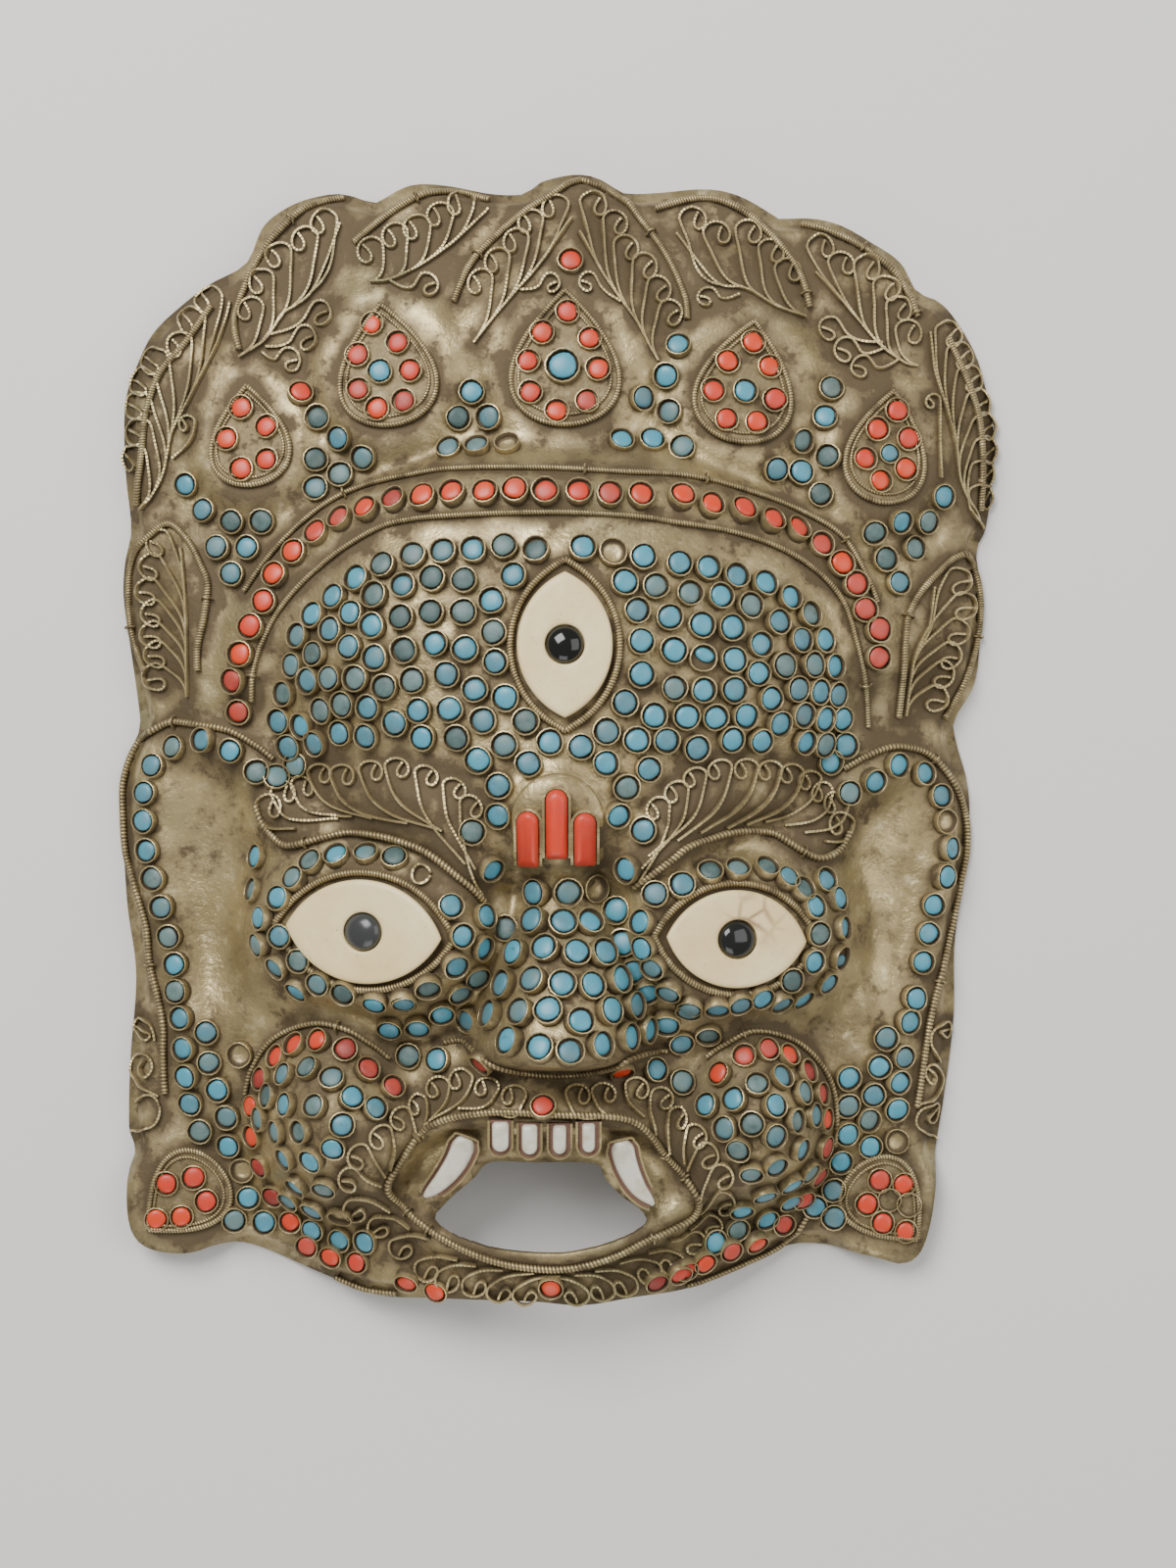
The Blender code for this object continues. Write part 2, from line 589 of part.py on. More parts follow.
def sheet_front():
    """The embossed front as an open mesh: cut flat, then raised to the relief."""
    edge = smooth_line(EDGE, EDGE_SPACING, closed=True)
    mouth = smooth_line(MOUTH_EDGE, MOUTH_SPACING, closed=True)
    ties = [(i, (i + 1) % len(edge)) for i in range(len(edge))]
    ties += [(len(edge) + i, len(edge) + (i + 1) % len(mouth)) for i in range(len(mouth))]
    ahead = np.roll(edge, -1, axis=0) - np.roll(edge, 1, axis=0)
    inward = np.stack([ahead[:, 1], -ahead[:, 0]], axis=1) / np.linalg.norm(ahead, axis=1)[:, None]
    taken = np.concatenate([edge, mouth])
    for depth, gap in zip((RIM_FLANGE / MM, RIM_FLANGE / MM + ROLL_WIDTH), RING_GAPS):
        taken = add_clear(taken, edge + depth * inward, gap)
    for seat in SEATS.values():
        taken = add_clear(taken, seat_ring(seat), SEAT_GAP)
    for spacing, zone in ((FACE_SPACING, in_face), (MARGIN_SPACING, in_margin)):
        grid = hexagonal_grid(spacing)
        taken = add_clear(taken, grid[zone(grid[:, 0], grid[:, 1])], spacing * GRID_GAP)
    verts, _, faces, _, _, _ = delaunay_2d_cdt([Vector(p) for p in taken], ties, [], 0, 1e-5)
    plan = np.array([tuple(v) for v in verts])
    middles = np.array([plan[list(f)].mean(axis=0) for f in faces])
    kept = inside_line(middles[:, 0], middles[:, 1], edge) & ~inside_line(middles[:, 0], middles[:, 1], mouth)
    bm = bmesh.new()
    corners = [bm.verts.new(Vector((x, y, z)) * MM) for (x, y), z in zip(plan, relief(plan[:, 0], plan[:, 1]))]
    for face, keep in zip(faces, kept):
        if keep:
            bm.faces.new([corners[i] for i in face])
    bmesh.ops.delete(bm, geom=[v for v in bm.verts if not v.link_faces], context="VERTS")
    bmesh.ops.recalc_face_normals(bm, faces=bm.faces)
    if sum(f.normal.z for f in bm.faces) < 0:
        bmesh.ops.reverse_faces(bm, faces=bm.faces)
    return bm


def hexagonal_grid(spacing):
    rows = []
    low, high = EDGE.min(axis=0), EDGE.max(axis=0)
    for row, y in enumerate(np.arange(low[1], high[1], spacing * math.sin(math.radians(60)))):
        xs = np.arange(low[0] + spacing / 2 * (row % 2), high[0], spacing)
        rows.append(np.stack([xs, np.full(len(xs), y)], axis=1))
    return np.concatenate(rows)


def in_face(x, y):
    centre_x, centre_y, half_width, half_height = FACE_OVAL
    return np.hypot((x - centre_x) / half_width, (y - centre_y) / half_height) < 1.0


def in_margin(x, y):
    return inside_line(x, y, EDGE) & ~in_face(x, y)


def add_clear(taken, more, gap):
    """The taken points and those of the others that lie clear of them, inside the edge."""
    depth = distance_to_line(more[:, 0], more[:, 1], EDGE, closed=True)
    more = more[inside_line(more[:, 0], more[:, 1], EDGE) & (depth > min(gap, EDGE_GAP))]
    more = more[~inside_line(more[:, 0], more[:, 1], MOUTH_EDGE)]
    for point in more:
        if np.hypot(*(taken - point).T).min() > gap:
            taken = np.concatenate([taken, point[None]])
    return taken


# Resting pieces on the sheet

class Ground:
    """The sheet's facets, seen from above."""

    def __init__(self, bm):
        self.tree = BVHTree.FromBMesh(bm)

    def height(self, x, y):
        """The facets' height at a plan position in metres, or None off the sheet."""
        hit = self.tree.ray_cast(Vector((x, y, 1.0)), Vector((0.0, 0.0, -1.0)))
        return hit[0].z if hit[0] else None

    def highest(self, x, y, reach):
        """The highest facet within reach of a plan position."""
        turns = np.linspace(0.0, 2 * math.pi, 8, endpoint=False)
        around = [(x, y)] + [(x + reach * math.cos(t), y + reach * math.sin(t)) for t in turns]
        found = [z for z in (self.height(*place) for place in around) if z is not None]
        return max(found) if found else None

    def tangent(self, x, y, reach):
        """The unit normal of the sheet over a patch this wide."""
        east, west = self.height(x + reach, y), self.height(x - reach, y)
        north, south = self.height(x, y + reach), self.height(x, y - reach)
        here = self.height(x, y)
        east, west = (here if z is None else z for z in (east, west))
        north, south = (here if z is None else z for z in (north, south))
        return Vector(((west - east) / (2 * reach), (south - north) / (2 * reach), 1.0)).normalized()

    def seat_matrix(self, x, y, normal, turn, outline):
        """Where a flat-bottomed piece comes to rest: just clear of every facet beneath its outline."""
        across = Vector((0.0, 1.0, 0.0)).cross(normal).normalized()
        turned = Matrix((across, normal.cross(across), normal)).transposed().to_4x4()
        turned = turned @ Matrix.Rotation(turn, 4, "Z")
        foot = Vector((x, y, self.height(x, y)))
        lift = 0.0
        for share in UNDERSIDE_SHARES:
            for px, py in outline:
                under = foot + turned.to_3x3() @ Vector((px * share, py * share, 0.0))
                z = self.height(under.x, under.y)
                if z is not None:
                    lift = max(lift, (z - under.z) * normal.z)
        return Matrix.Translation(foot + normal * (lift + SOLDER_GAP)) @ turned


def lay_wire(name, line, diameter, material, closed=False):
    """A wire on the sheet along a plan line, each straight run raised clear of the facets."""
    plan = smooth_line(line, WIRE_SPACING, closed) * MM
    clear = diameter / 2 + SOLDER_GAP

    def rest_height(x, y):
        return ground.highest(x, y, diameter * WIRE_REACH) + clear

    heights = np.array([rest_height(x, y) for x, y in plan])
    raised = heights.copy()
    for i in range(len(plan) if closed else len(plan) - 1):
        j = (i + 1) % len(plan)
        lack = 0.0
        for share in np.linspace(0.0, 1.0, WIRE_PROBES)[1:-1]:
            x, y = plan[i] + share * (plan[j] - plan[i])
            lack = max(lack, rest_height(x, y) - heights[i] - share * (heights[j] - heights[i]))
        raised[i] = max(raised[i], heights[i] + lack)
        raised[j] = max(raised[j], heights[j] + lack)
    points = [Vector((x, y, z)) for (x, y), z in zip(plan, raised)]
    return tube(name, points, diameter, material, closed)


def stone_mesh(step):
    """A stone in its bezel, standing on z = 0, a little higher or lower than its neighbours."""
    height = STONE_HEIGHT * (1.0 + STONE_UNEVENNESS * step)
    radius = STONE_DIAMETER / 2
    bm = bmesh.new()
    bmesh.ops.create_cone(
        bm, cap_ends=True, segments=STONE_SIDES, radius1=radius, radius2=radius * STONE_TAPER, depth=height)
    bmesh.ops.translate(bm, verts=bm.verts, vec=(0.0, 0.0, height / 2))
    return mesh_from(bm, "stone")


def row_stone(name, x, y, turn, step):
    """A coral stone square to the sheet, with a corner towards the next one."""
    radius = STONE_DIAMETER / 2
    turns = np.linspace(0.0, 2 * math.pi, STONE_SIDES, endpoint=False)
    rim = [(radius * math.cos(t), radius * math.sin(t)) for t in turns]
    normal = ground.tangent(x, y, STONE_DIAMETER)
    return add_object(name, stone_mesh(step), coral_red, ground.seat_matrix(x, y, normal, turn, rim))


# The pieces

def build_sheet(front):
    """The embossed sheet with its wall, its flange flat on the floor."""
    sheet = add_object("mask_sheet", mesh_from(front, "mask_sheet"), brass)
    wall = sheet.modifiers.new("Wall", "SOLIDIFY")
    wall.thickness = SHEET_THICKNESS
    wall.offset = -1.0
    wall.use_even_offset = True
    sheet = baked(sheet)
    for corner in sheet.data.vertices:
        if corner.co.z < SHEET_THICKNESS * FLANGE_BAND:
            corner.co.z = 0.0


def seat_normal(seat):
    return Vector((*-seat["slope"], 1.0)).normalized()


def build_eye(name, eye):
    """A bone almond with a drilled pupil hole, its glass pupil and its twisted frame."""
    centre_x, centre_y, length, height, turn = eye
    clear = WIRE_DIAMETER / 2 + SOLDER_GAP
    frame_size = (length * MM + FRAME_TIP_GROWTH * clear, height * MM + FRAME_SIDE_GROWTH * clear)
    reach = almond(frame_size[0] + 2 * WIRE_DIAMETER, frame_size[1] + WIRE_DIAMETER)
    place = ground.seat_matrix(
        centre_x * MM, centre_y * MM, seat_normal(SEATS[name]), math.radians(turn), reach)
    bone = flat_plate(name, almond(length * MM, height * MM), BONE_THICKNESS, BONE_EDGE, bone_white)
    bm = bmesh.new()
    hole_radius = PUPIL_DIAMETER / 2 + PUPIL_CLEARANCE
    bmesh.ops.create_cone(
        bm, cap_ends=True, segments=12, radius1=hole_radius, radius2=hole_radius, depth=BONE_THICKNESS)
    floor = BONE_THICKNESS * HOLE_FLOOR
    bmesh.ops.translate(bm, verts=bm.verts, vec=(0.0, 0.0, floor + BONE_THICKNESS / 2))
    bone = cut(bone, add_object("pupil_hole", mesh_from(bm, "pupil_hole"), bone_white))
    bone.matrix_world = place
    bm = bmesh.new()
    bmesh.ops.create_uvsphere(bm, u_segments=12, v_segments=6, radius=PUPIL_DIAMETER / 2)
    everything = bm.verts[:] + bm.edges[:] + bm.faces[:]
    bmesh.ops.bisect_plane(bm, geom=everything, plane_co=(0, 0, 0), plane_no=(0, 0, 1), clear_inner=True)
    bmesh.ops.scale(bm, verts=bm.verts, vec=(1.0, 1.0, PUPIL_HEIGHT / (PUPIL_DIAMETER / 2)))
    bmesh.ops.contextual_create(bm, geom=[e for e in bm.edges if e.is_boundary])
    bmesh.ops.recalc_face_normals(bm, faces=bm.faces)
    lift = Matrix.Translation((0.0, 0.0, floor + PUPIL_CLEARANCE))
    add_object(f"{name}_pupil", mesh_from(bm, "pupil"), black_glass, place @ lift)
    ring = [place @ Vector((px, py, WIRE_DIAMETER / 2)) for px, py in almond(*frame_size)]
    tube(f"{name}_frame", ring, WIRE_DIAMETER, silvered, closed=True)


def build_jewel(name, jewel, seat):
    """A tray with a raised edge, a ring of coral stones and, in a large one, a stone in the middle."""
    centre_x, centre_y, tall, wide, lean, count = jewel
    bm = bmesh.new()
    floor = bm.faces.new([bm.verts.new((px, py, 0.0)) for px, py in teardrop(tall * MM, wide * MM)])
    top = extruded(bm, floor)
    bmesh.ops.translate(bm, verts=top.verts[:], vec=(0.0, 0.0, WIRE_DIAMETER))
    well = extruded(bm, top)
    inner = 1.0 - 2 * TRAY_EDGE / (wide * MM)
    bmesh.ops.scale(bm, verts=well.verts[:], vec=(inner, inner, 1.0))
    bmesh.ops.translate(bm, verts=well.verts[:], vec=(0.0, 0.0, TRAY_THICKNESS - WIRE_DIAMETER))
    bmesh.ops.recalc_face_normals(bm, faces=bm.faces)
    whole = [add_object(name, mesh_from(bm, name), coral_red)]
    margin = 2 * (TRAY_EDGE + SOLDER_GAP) + STONE_DIAMETER
    ring = smooth_line(teardrop(tall * MM - margin, wide * MM - margin), RING_DETAIL, closed=True)
    for number in range(count):
        px, py = ring[round(number * len(ring) / count) % len(ring)]
        whole.append(tray_stone(px, py, number))
    if count > JEWEL_RING:
        whole.append(tray_stone(0.0, 0.0, count))
    made = fuse(whole)
    reach = teardrop(tall * MM, wide * MM)
    made.matrix_world = ground.seat_matrix(
        centre_x * MM, centre_y * MM, seat_normal(seat), math.radians(lean), reach)


def extruded(bm, face):
    """The face that comes of drawing another one out, with sides between the two."""
    drawn = bmesh.ops.extrude_face_region(bm, geom=[face, *face.edges])
    return next(f for f in drawn["geom"] if isinstance(f, bmesh.types.BMFace))


def tray_stone(px, py, number):
    """A stone sunk into the tray's floor, each a little higher and further turned than the one before."""
    foot = TRAY_THICKNESS * (TRAY_STONE_FOOT + TRAY_STONE_STEP * number)
    place = Matrix.Translation((px, py, foot)) @ Matrix.Rotation(TRAY_STONE_TURN * number, 4, "Z")
    return add_object("tray_stone", stone_mesh(number % 3), coral_red, place)


def round_ended(width, length):
    """The outline of a stick with a round end up and a square end down, anticlockwise."""
    half = width / 2
    end = length / 2 - half
    outline = [(half * math.cos(t), end + half * math.sin(t)) for t in np.linspace(0.0, math.pi, 5)]
    return outline + [(-half, -length / 2), (half, -length / 2)]


def build_bar(name, bar):
    """A half-round stick of coral."""
    centre_x, centre_y, length = bar
    outline = round_ended(BAR_WIDTH, length * MM)
    normal = ground.tangent(centre_x * MM, centre_y * MM, BAR_WIDTH)
    normal = Vector((0.0, normal.y, normal.z)).normalized()
    made = flat_plate(name, outline, BAR_HEIGHT, BAR_EDGE, coral_red)
    made.matrix_world = ground.seat_matrix(centre_x * MM, centre_y * MM, normal, 0.0, outline)


def build_tooth(name, tooth):
    """A front tooth, its round end down."""
    centre_x, centre_y, length = tooth
    outline = [(-px, -py) for px, py in round_ended(TOOTH_WIDTH, length * MM)]
    made = flat_plate(name, outline, TOOTH_HEIGHT, TOOTH_EDGE, tooth_white)
    level = Vector((0.0, 0.0, 1.0))
    made.matrix_world = ground.seat_matrix(centre_x * MM, centre_y * MM, level, 0.0, outline)


def build_fang(name, line):
    """A curved fang that narrows to its tip."""
    middle = smooth_line(sighted_on(line, relief), FANG_SPACING)
    ahead = np.gradient(middle, axis=0)
    side = np.stack([-ahead[:, 1], ahead[:, 0]], axis=1) / np.linalg.norm(ahead, axis=1)[:, None]
    share = np.linspace(0.0, 1.0, len(middle))[:, None]
    half = FANG_WIDTH / 2 * np.sqrt(np.maximum(1.0 - share**2, FANG_TIP))
    outline = np.concatenate([middle - side * half, (middle + side * half)[::-1]])
    centre = outline.mean(axis=0)
    made = flat_plate(name, (outline - centre) * MM, TOOTH_HEIGHT, FANG_EDGE, tooth_white)
    lift = max(ground.height(*(p * MM)) or 0.0 for p in (*outline, *middle))
    made.matrix_world = Matrix.Translation((*(centre * MM), lift + SOLDER_GAP))


def build_coral_row():
    """The row of coral stones on the diadem, each bezel soldered to the next up hill and down."""
    fine = smooth_line(DIADEM, ROW_DETAIL)
    runs = np.hypot(np.linalg.norm(np.diff(fine, axis=0), axis=1), np.diff(relief(fine[:, 0], fine[:, 1])))
    along = np.concatenate([[0.0], np.cumsum(runs)])
    count = round(along[-1] / (STONE_DIAMETER / MM * ROW_PITCH)) + 1
    wanted = np.linspace(0.0, along[-1], count)
    places = np.stack([np.interp(wanted, along, fine[:, k]) for k in (0, 1)], axis=1) * MM
    ahead = np.gradient(places, axis=0)
    turns = np.arctan2(ahead[:, 1], ahead[:, 0]) - math.pi / 2
    stones = [row_stone(f"row_stone_{i}", *places[i], turns[i], i % 2) for i in range(len(places))]
    stones[0].name = "coral_row"
    return fuse(stones)


def build_diadem_wire(name, side):
    """One of the two wires that border the coral row."""
    line = smooth_line(DIADEM, WIRE_SPACING)
    ahead = np.gradient(line, axis=0)
    across = np.stack([-ahead[:, 1], ahead[:, 0]], axis=1) / np.linalg.norm(ahead, axis=1)[:, None]
    offset = (STONE_DIAMETER / 2 + FINE_WIRE_DIAMETER + SOLDER_GAP) / MM
    lay_wire(name, line + side * offset * across, FINE_WIRE_DIAMETER, silvered)


for leftover in list(bpy.data.objects):
    bpy.data.objects.remove(leftover)

mask = new_collection("mahakala_mask")
brass = make_material("embossed_brass", BRASS, 0.45, 0.9)
silvered = make_material("twisted_wire", SILVERED_BRASS, 0.4, 0.9)
coral_red = make_material("coral", CORAL, 0.35, 0.0)
bone_white = make_material("bone", BONE, 0.5, 0.0)
black_glass = make_material("black_glass", BLACK_GLASS, 0.1, 0.0)
tooth_white = make_material("tooth_white", TOOTH_WHITE, 0.4, 0.0)

front = sheet_front()
ground = Ground(front)
build_sheet(front)
for eye_name, eye_values in EYES.items():
    build_eye(eye_name, eye_values)
for number, jewel_values in enumerate(CROWN_JEWELS, start=1):
    build_jewel(f"crown_jewel_{number}", jewel_values, SEATS[f"crown_jewel_{number}"])
for jewel_name, jewel_values in CORNER_JEWELS.items():
    build_jewel(jewel_name, jewel_values, SEATS[jewel_name])
for bar_name, bar_values in CORAL_BARS.items():
    build_bar(bar_name, bar_values)
for number, tooth_values in enumerate(TEETH, start=1):
    build_tooth(f"tooth_{number}", tooth_values)
for fang_name, fang_line in FANGS.items():
    build_fang(fang_name, fang_line)
build_coral_row()
for wire_name, wire_line in HEAVY_WIRES.items():
    lay_wire(wire_name, sighted_on(wire_line, relief), WIRE_DIAMETER, silvered, wire_name == "lip_wire")
for wire_name, wire_line in FINE_WIRES.items():
    lay_wire(wire_name, sighted_on(wire_line, relief), FINE_WIRE_DIAMETER, silvered)
build_diadem_wire("diadem_wire_upper", 1)
build_diadem_wire("diadem_wire_lower", -1)

middle = (EDGE.min(axis=0) + EDGE.max(axis=0)) / 2 * MM
for piece in mask.objects:
    piece.matrix_world = Matrix.Translation((-middle[0], -middle[1], 0.0)) @ piece.matrix_world
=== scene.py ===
"""A mahakala mask lying face up: embossed brass set with turquoise and coral, seen from above."""

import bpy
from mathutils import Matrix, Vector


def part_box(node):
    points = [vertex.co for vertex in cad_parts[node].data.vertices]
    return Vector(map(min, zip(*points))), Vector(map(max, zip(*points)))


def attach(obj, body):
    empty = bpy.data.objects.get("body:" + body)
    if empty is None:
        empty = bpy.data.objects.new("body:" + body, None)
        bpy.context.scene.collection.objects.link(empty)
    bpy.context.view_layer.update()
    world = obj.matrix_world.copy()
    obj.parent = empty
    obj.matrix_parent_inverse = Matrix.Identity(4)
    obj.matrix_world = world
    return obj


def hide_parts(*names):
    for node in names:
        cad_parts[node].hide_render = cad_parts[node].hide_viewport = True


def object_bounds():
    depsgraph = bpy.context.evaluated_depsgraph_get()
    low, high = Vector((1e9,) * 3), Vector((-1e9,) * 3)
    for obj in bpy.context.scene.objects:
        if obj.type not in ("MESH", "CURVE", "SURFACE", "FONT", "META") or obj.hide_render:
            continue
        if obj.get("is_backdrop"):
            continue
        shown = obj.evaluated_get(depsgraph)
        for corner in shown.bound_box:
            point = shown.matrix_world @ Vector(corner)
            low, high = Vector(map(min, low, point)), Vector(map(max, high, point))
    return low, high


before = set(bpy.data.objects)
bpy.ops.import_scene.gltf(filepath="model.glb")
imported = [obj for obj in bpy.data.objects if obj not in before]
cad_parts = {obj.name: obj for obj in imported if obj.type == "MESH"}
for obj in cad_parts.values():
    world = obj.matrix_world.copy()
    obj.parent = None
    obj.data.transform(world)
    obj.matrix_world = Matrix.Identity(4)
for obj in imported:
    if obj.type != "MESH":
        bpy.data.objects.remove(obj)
cad_box = [list(corner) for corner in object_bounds()]

import math

import bmesh
import bpy
import numpy as np
from mathutils import Matrix, Vector
from mathutils.kdtree import KDTree

# The embossed sheet: one thin piece of pale brass, beaten from behind over pitch until the brows,
# nose, cheeks and lips stand out, its edge bent back flat and its mouth sawn through. Positions are
# sighted from above, one unit being this many millimetres on the floor; heights are millimetres.
MM = 0.001
SIGHT_UNIT = 0.235
SIGHT_HEIGHT = 560.0
SIGHT_MIDDLE = (600, 800)
SIGHT_POINT = (7.05, -10.8)
SHEET_WALL, RIM_FLANGE = 1.0, 1.4
SHEET_STEP = 1.16
OUTLINE = (
    (590, 178), (617, 185), (636, 197), (670, 197), (719, 193), (752, 199), (782, 215), (793, 223),
    (829, 223), (858, 230), (890, 248), (919, 268), (935, 297), (960, 309), (980, 334), (997, 366),
    (1007, 403), (1015, 452), (1011, 505), (1005, 542), (996, 565), (1004, 615), (1000, 656), (994, 699),
    (974, 734), (975, 755), (987, 799), (989, 840), (984, 898), (974, 961), (973, 1038), (963, 1119),
    (955, 1168), (945, 1247), (925, 1285), (888, 1277), (819, 1268), (779, 1281), (739, 1299), (700, 1315),
    (645, 1324), (594, 1332), (543, 1328), (482, 1326), (430, 1324), (385, 1321), (326, 1298), (279, 1277),
    (253, 1268), (224, 1266), (192, 1274), (143, 1261), (134, 1200), (140, 1169), (132, 1155), (133, 1081),
    (139, 995), (130, 924), (125, 842), (125, 801), (131, 771), (142, 746), (142, 724), (133, 660),
    (126, 609), (128, 571), (134, 540), (128, 479), (128, 410), (142, 368), (157, 339), (184, 313),
    (214, 290), (251, 269), (268, 232), (291, 213), (318, 202), (350, 198), (383, 207), (402, 196),
    (425, 188), (459, 190), (501, 198), (536, 198), (551, 186),
)
MOUTH = (
    (444, 1244), (451, 1230), (467, 1215), (482, 1203), (500, 1186), (543, 1186), (606, 1187), (618, 1203),
    (635, 1220), (653, 1233), (660, 1246), (645, 1260), (614, 1273), (573, 1281), (543, 1280), (502, 1275),
    (467, 1262),
)
ROLL_RISE, ROLL_WIDTH, FORM_FADE = 6.0, 3.4, 22.0
CHIN_X, CHIN_HALF_WIDTH, CHIN_LIFT = -3.0, 68.0, 21.0
CHIN_TOP_Y, CHIN_DEPTH, CHIN_FLATNESS = -98.0, 26.0, 0.75
HEAD = (0.0, -4.0, 108.0, 150.0, 16.0, 2.0, 1.0)
FOREHEAD = (1.0, 18.0, 69.0, 54.0, 16.0, 4.0, 1.2)
MIDDLE_FACE = (0.0, -56.0, 62.0, 75.0, 8.0, 2.0, 2.0)
EYE_MOUNDS = ((-43.7, -43.5, 36.0, 29.0, 12.0, 3.0, 1.5), (40.5, -45.0, 35.0, 28.0, 12.0, 3.0, 1.5))
CHEEKS = ((-52.0, -90.0, 21.5, 28.0, 20.0, 2.0, 1.5), (47.0, -90.0, 19.5, 27.5, 20.0, 2.0, 1.5))
MUZZLE = (-3.0, -96.0, 48.0, 31.0, 14.0, 2.0, 1.4)
EAR_HOLLOWS = ((-81.0, -34.0, 14.0, 34.0, -5.0, 3.0, 1.5), (77.5, -34.0, 13.5, 32.0, -5.0, 3.0, 1.5))
CORAL_BOSS = (0.1, -19.5, 14.5, 14.0, 3.5, 4.0, 2.0)
DIADEM_LINE = (
    (243, 690), (243, 667), (254, 639), (268, 613), (298, 562), (345, 527), (400, 507), (460, 500),
    (525, 498), (591, 499), (655, 503), (728, 512), (790, 529), (840, 554), (875, 595), (896, 640),
    (898, 671),
)
BROW_LINES = (
    ((268, 832), (302, 835), (352, 822), (407, 822), (450, 842), (482, 882)),
    ((657, 892), (700, 840), (750, 820), (800, 828), (848, 848)),
)
EAR_RIMS = (
    ((261, 787), (234, 766), (204, 755), (175, 762), (154, 781), (145, 838), (154, 897), (171, 956),
     (180, 1020), (188, 1099)),
    ((868, 809), (894, 798), (918, 781), (945, 789), (962, 812), (971, 866), (954, 924), (943, 982),
     (929, 1043), (919, 1105)),
)
LEAF_LINES = (
    ((228, 350), (182, 420), (160, 480)), ((244, 348), (285, 300), (335, 225)),
    ((384, 262), (425, 232), (470, 208)), ((484, 350), (526, 299), (584, 225)),
    ((590, 238), (649, 329), (671, 368)), ((728, 280), (770, 270), (800, 300)),
    ((850, 300), (890, 310), (925, 350)), ((950, 350), (970, 440), (1000, 530)),
    ((176, 560), (190, 639), (193, 711)), ((976, 585), (945, 655), (925, 725)),
)
DIADEM_HEIGHT, BROW_HEIGHT, EAR_HEIGHT, LEAF_HEIGHT = 25.0, 42.0, 13.0, 11.0
DIADEM_RIDGE, BROW_RIDGE, EAR_RIDGE, LEAF_RIDGE = (9.5, 3.0), (11.0, 5.5), (7.5, 3.0), (9.0, 2.2)
NOSE_X = 1.0
BRIDGE_Y, TIP_Y, NOSE_END_Y = -31.0, -66.0, -76.5
BRIDGE_HALF_WIDTH, WING_HALF_WIDTH = 9.0, 22.0
BRIDGE_RISE, TIP_RISE = 4.0, 21.0
NOSE_FADE, NOSE_UNDERCUT = 12.0, 5.0
NOSE_WIDENING, NOSE_SQUARENESS = 1.3, 2.4
LIPS_CENTRE, LIPS_HALF_WIDTH, LIPS_HALF_HEIGHT = (-4.0, -101.5), 35.0, 17.0
LIP_RISE, MOUTH_DEPTH = 3.0, 5.0
LIP_LINE, LIP_BREADTH, MOUTH_FADE = 1.06, 0.16, 0.3
EYES = {
    "third_eye": (1.9, 20.2, 32.6, 21.3, 90.0),
    "left_eye": (-43.5, -44.0, 36.0, 23.4, -4.0),
    "right_eye": (40.5, -45.6, 32.0, 22.0, -3.0),
}
CROWN_JEWELS = (
    (-72.0, 70.6, 24.2, 19.4, 4.0), (-39.8, 86.6, 29.7, 23.3, 6.0), (1.7, 87.9, 32.7, 25.8, 0.0),
    (43.6, 82.7, 29.7, 23.3, -9.0), (76.9, 68.1, 27.4, 19.6, -8.0),
)
CORNER_JEWELS = {
    "corner_jewel_left": (-88.6, -108.5, 23.0, 19.4, 132.0),
    "corner_jewel_right": (77.6, -110.0, 23.0, 19.4, -139.0),
}
SEAT_MARGIN, EYE_SEAT_LIFT, CROWN_SEAT_LIFT = 1.5, 0.5, 2.5
SEAT_SPREAD, SEAT_FADE, SEAT_STEP = 1.55, 0.5, 5.0
# The hammer's dents and the finer unevenness: how wide and how deep they are
DENTS = ((6.5, 0.20), (2.8, 0.10))


def smooth_line(points, spacing, closed=False):
    """Evenly spaced points on a Catmull-Rom curve through the given ones, in any dimension."""
    given = np.array(points, float)
    count = len(given)
    fine = []
    for i in range(count if closed else count - 1):
        if closed:
            a, b, c, d = (given[(i + k) % count] for k in (-1, 0, 1, 2))
        else:
            a, b, c, d = (given[min(max(i + k, 0), count - 1)] for k in (-1, 0, 1, 2))
        for t in np.linspace(0.0, 1.0, 16, endpoint=False):
            fine.append(0.5 * (2 * b + (c - a) * t + (2 * a - 5 * b + 4 * c - d) * t**2
                               + (3 * b - a - 3 * c + d) * t**3))
    fine.append(given[0] if closed else given[-1])
    fine = np.array(fine)
    along = np.concatenate([[0.0], np.cumsum(np.linalg.norm(np.diff(fine, axis=0), axis=1))])
    steps = max(3 if closed else 1, round(along[-1] / spacing))
    wanted = np.linspace(0.0, along[-1], steps + 1)
    if closed:
        wanted = wanted[:-1]
    return np.stack([np.interp(wanted, along, fine[:, k]) for k in range(given.shape[1])], axis=1)


def nearest_on_line(x, y, line, closed=False):
    """Distance and nearest place on a chain of straight runs, for each plan position."""
    ends = np.roll(line, -1, axis=0) if closed else line[1:]
    best = np.full(np.shape(x), np.inf)
    at_x, at_y = np.zeros(np.shape(x)), np.zeros(np.shape(x))
    for (ax, ay), (bx, by) in zip(line, ends):
        dx, dy = bx - ax, by - ay
        t = np.clip(((x - ax) * dx + (y - ay) * dy) / (dx * dx + dy * dy), 0.0, 1.0)
        px, py = ax + t * dx, ay + t * dy
        d = np.hypot(x - px, y - py)
        nearer = d < best
        best = np.where(nearer, d, best)
        at_x, at_y = np.where(nearer, px, at_x), np.where(nearer, py, at_y)
    return best, at_x, at_y


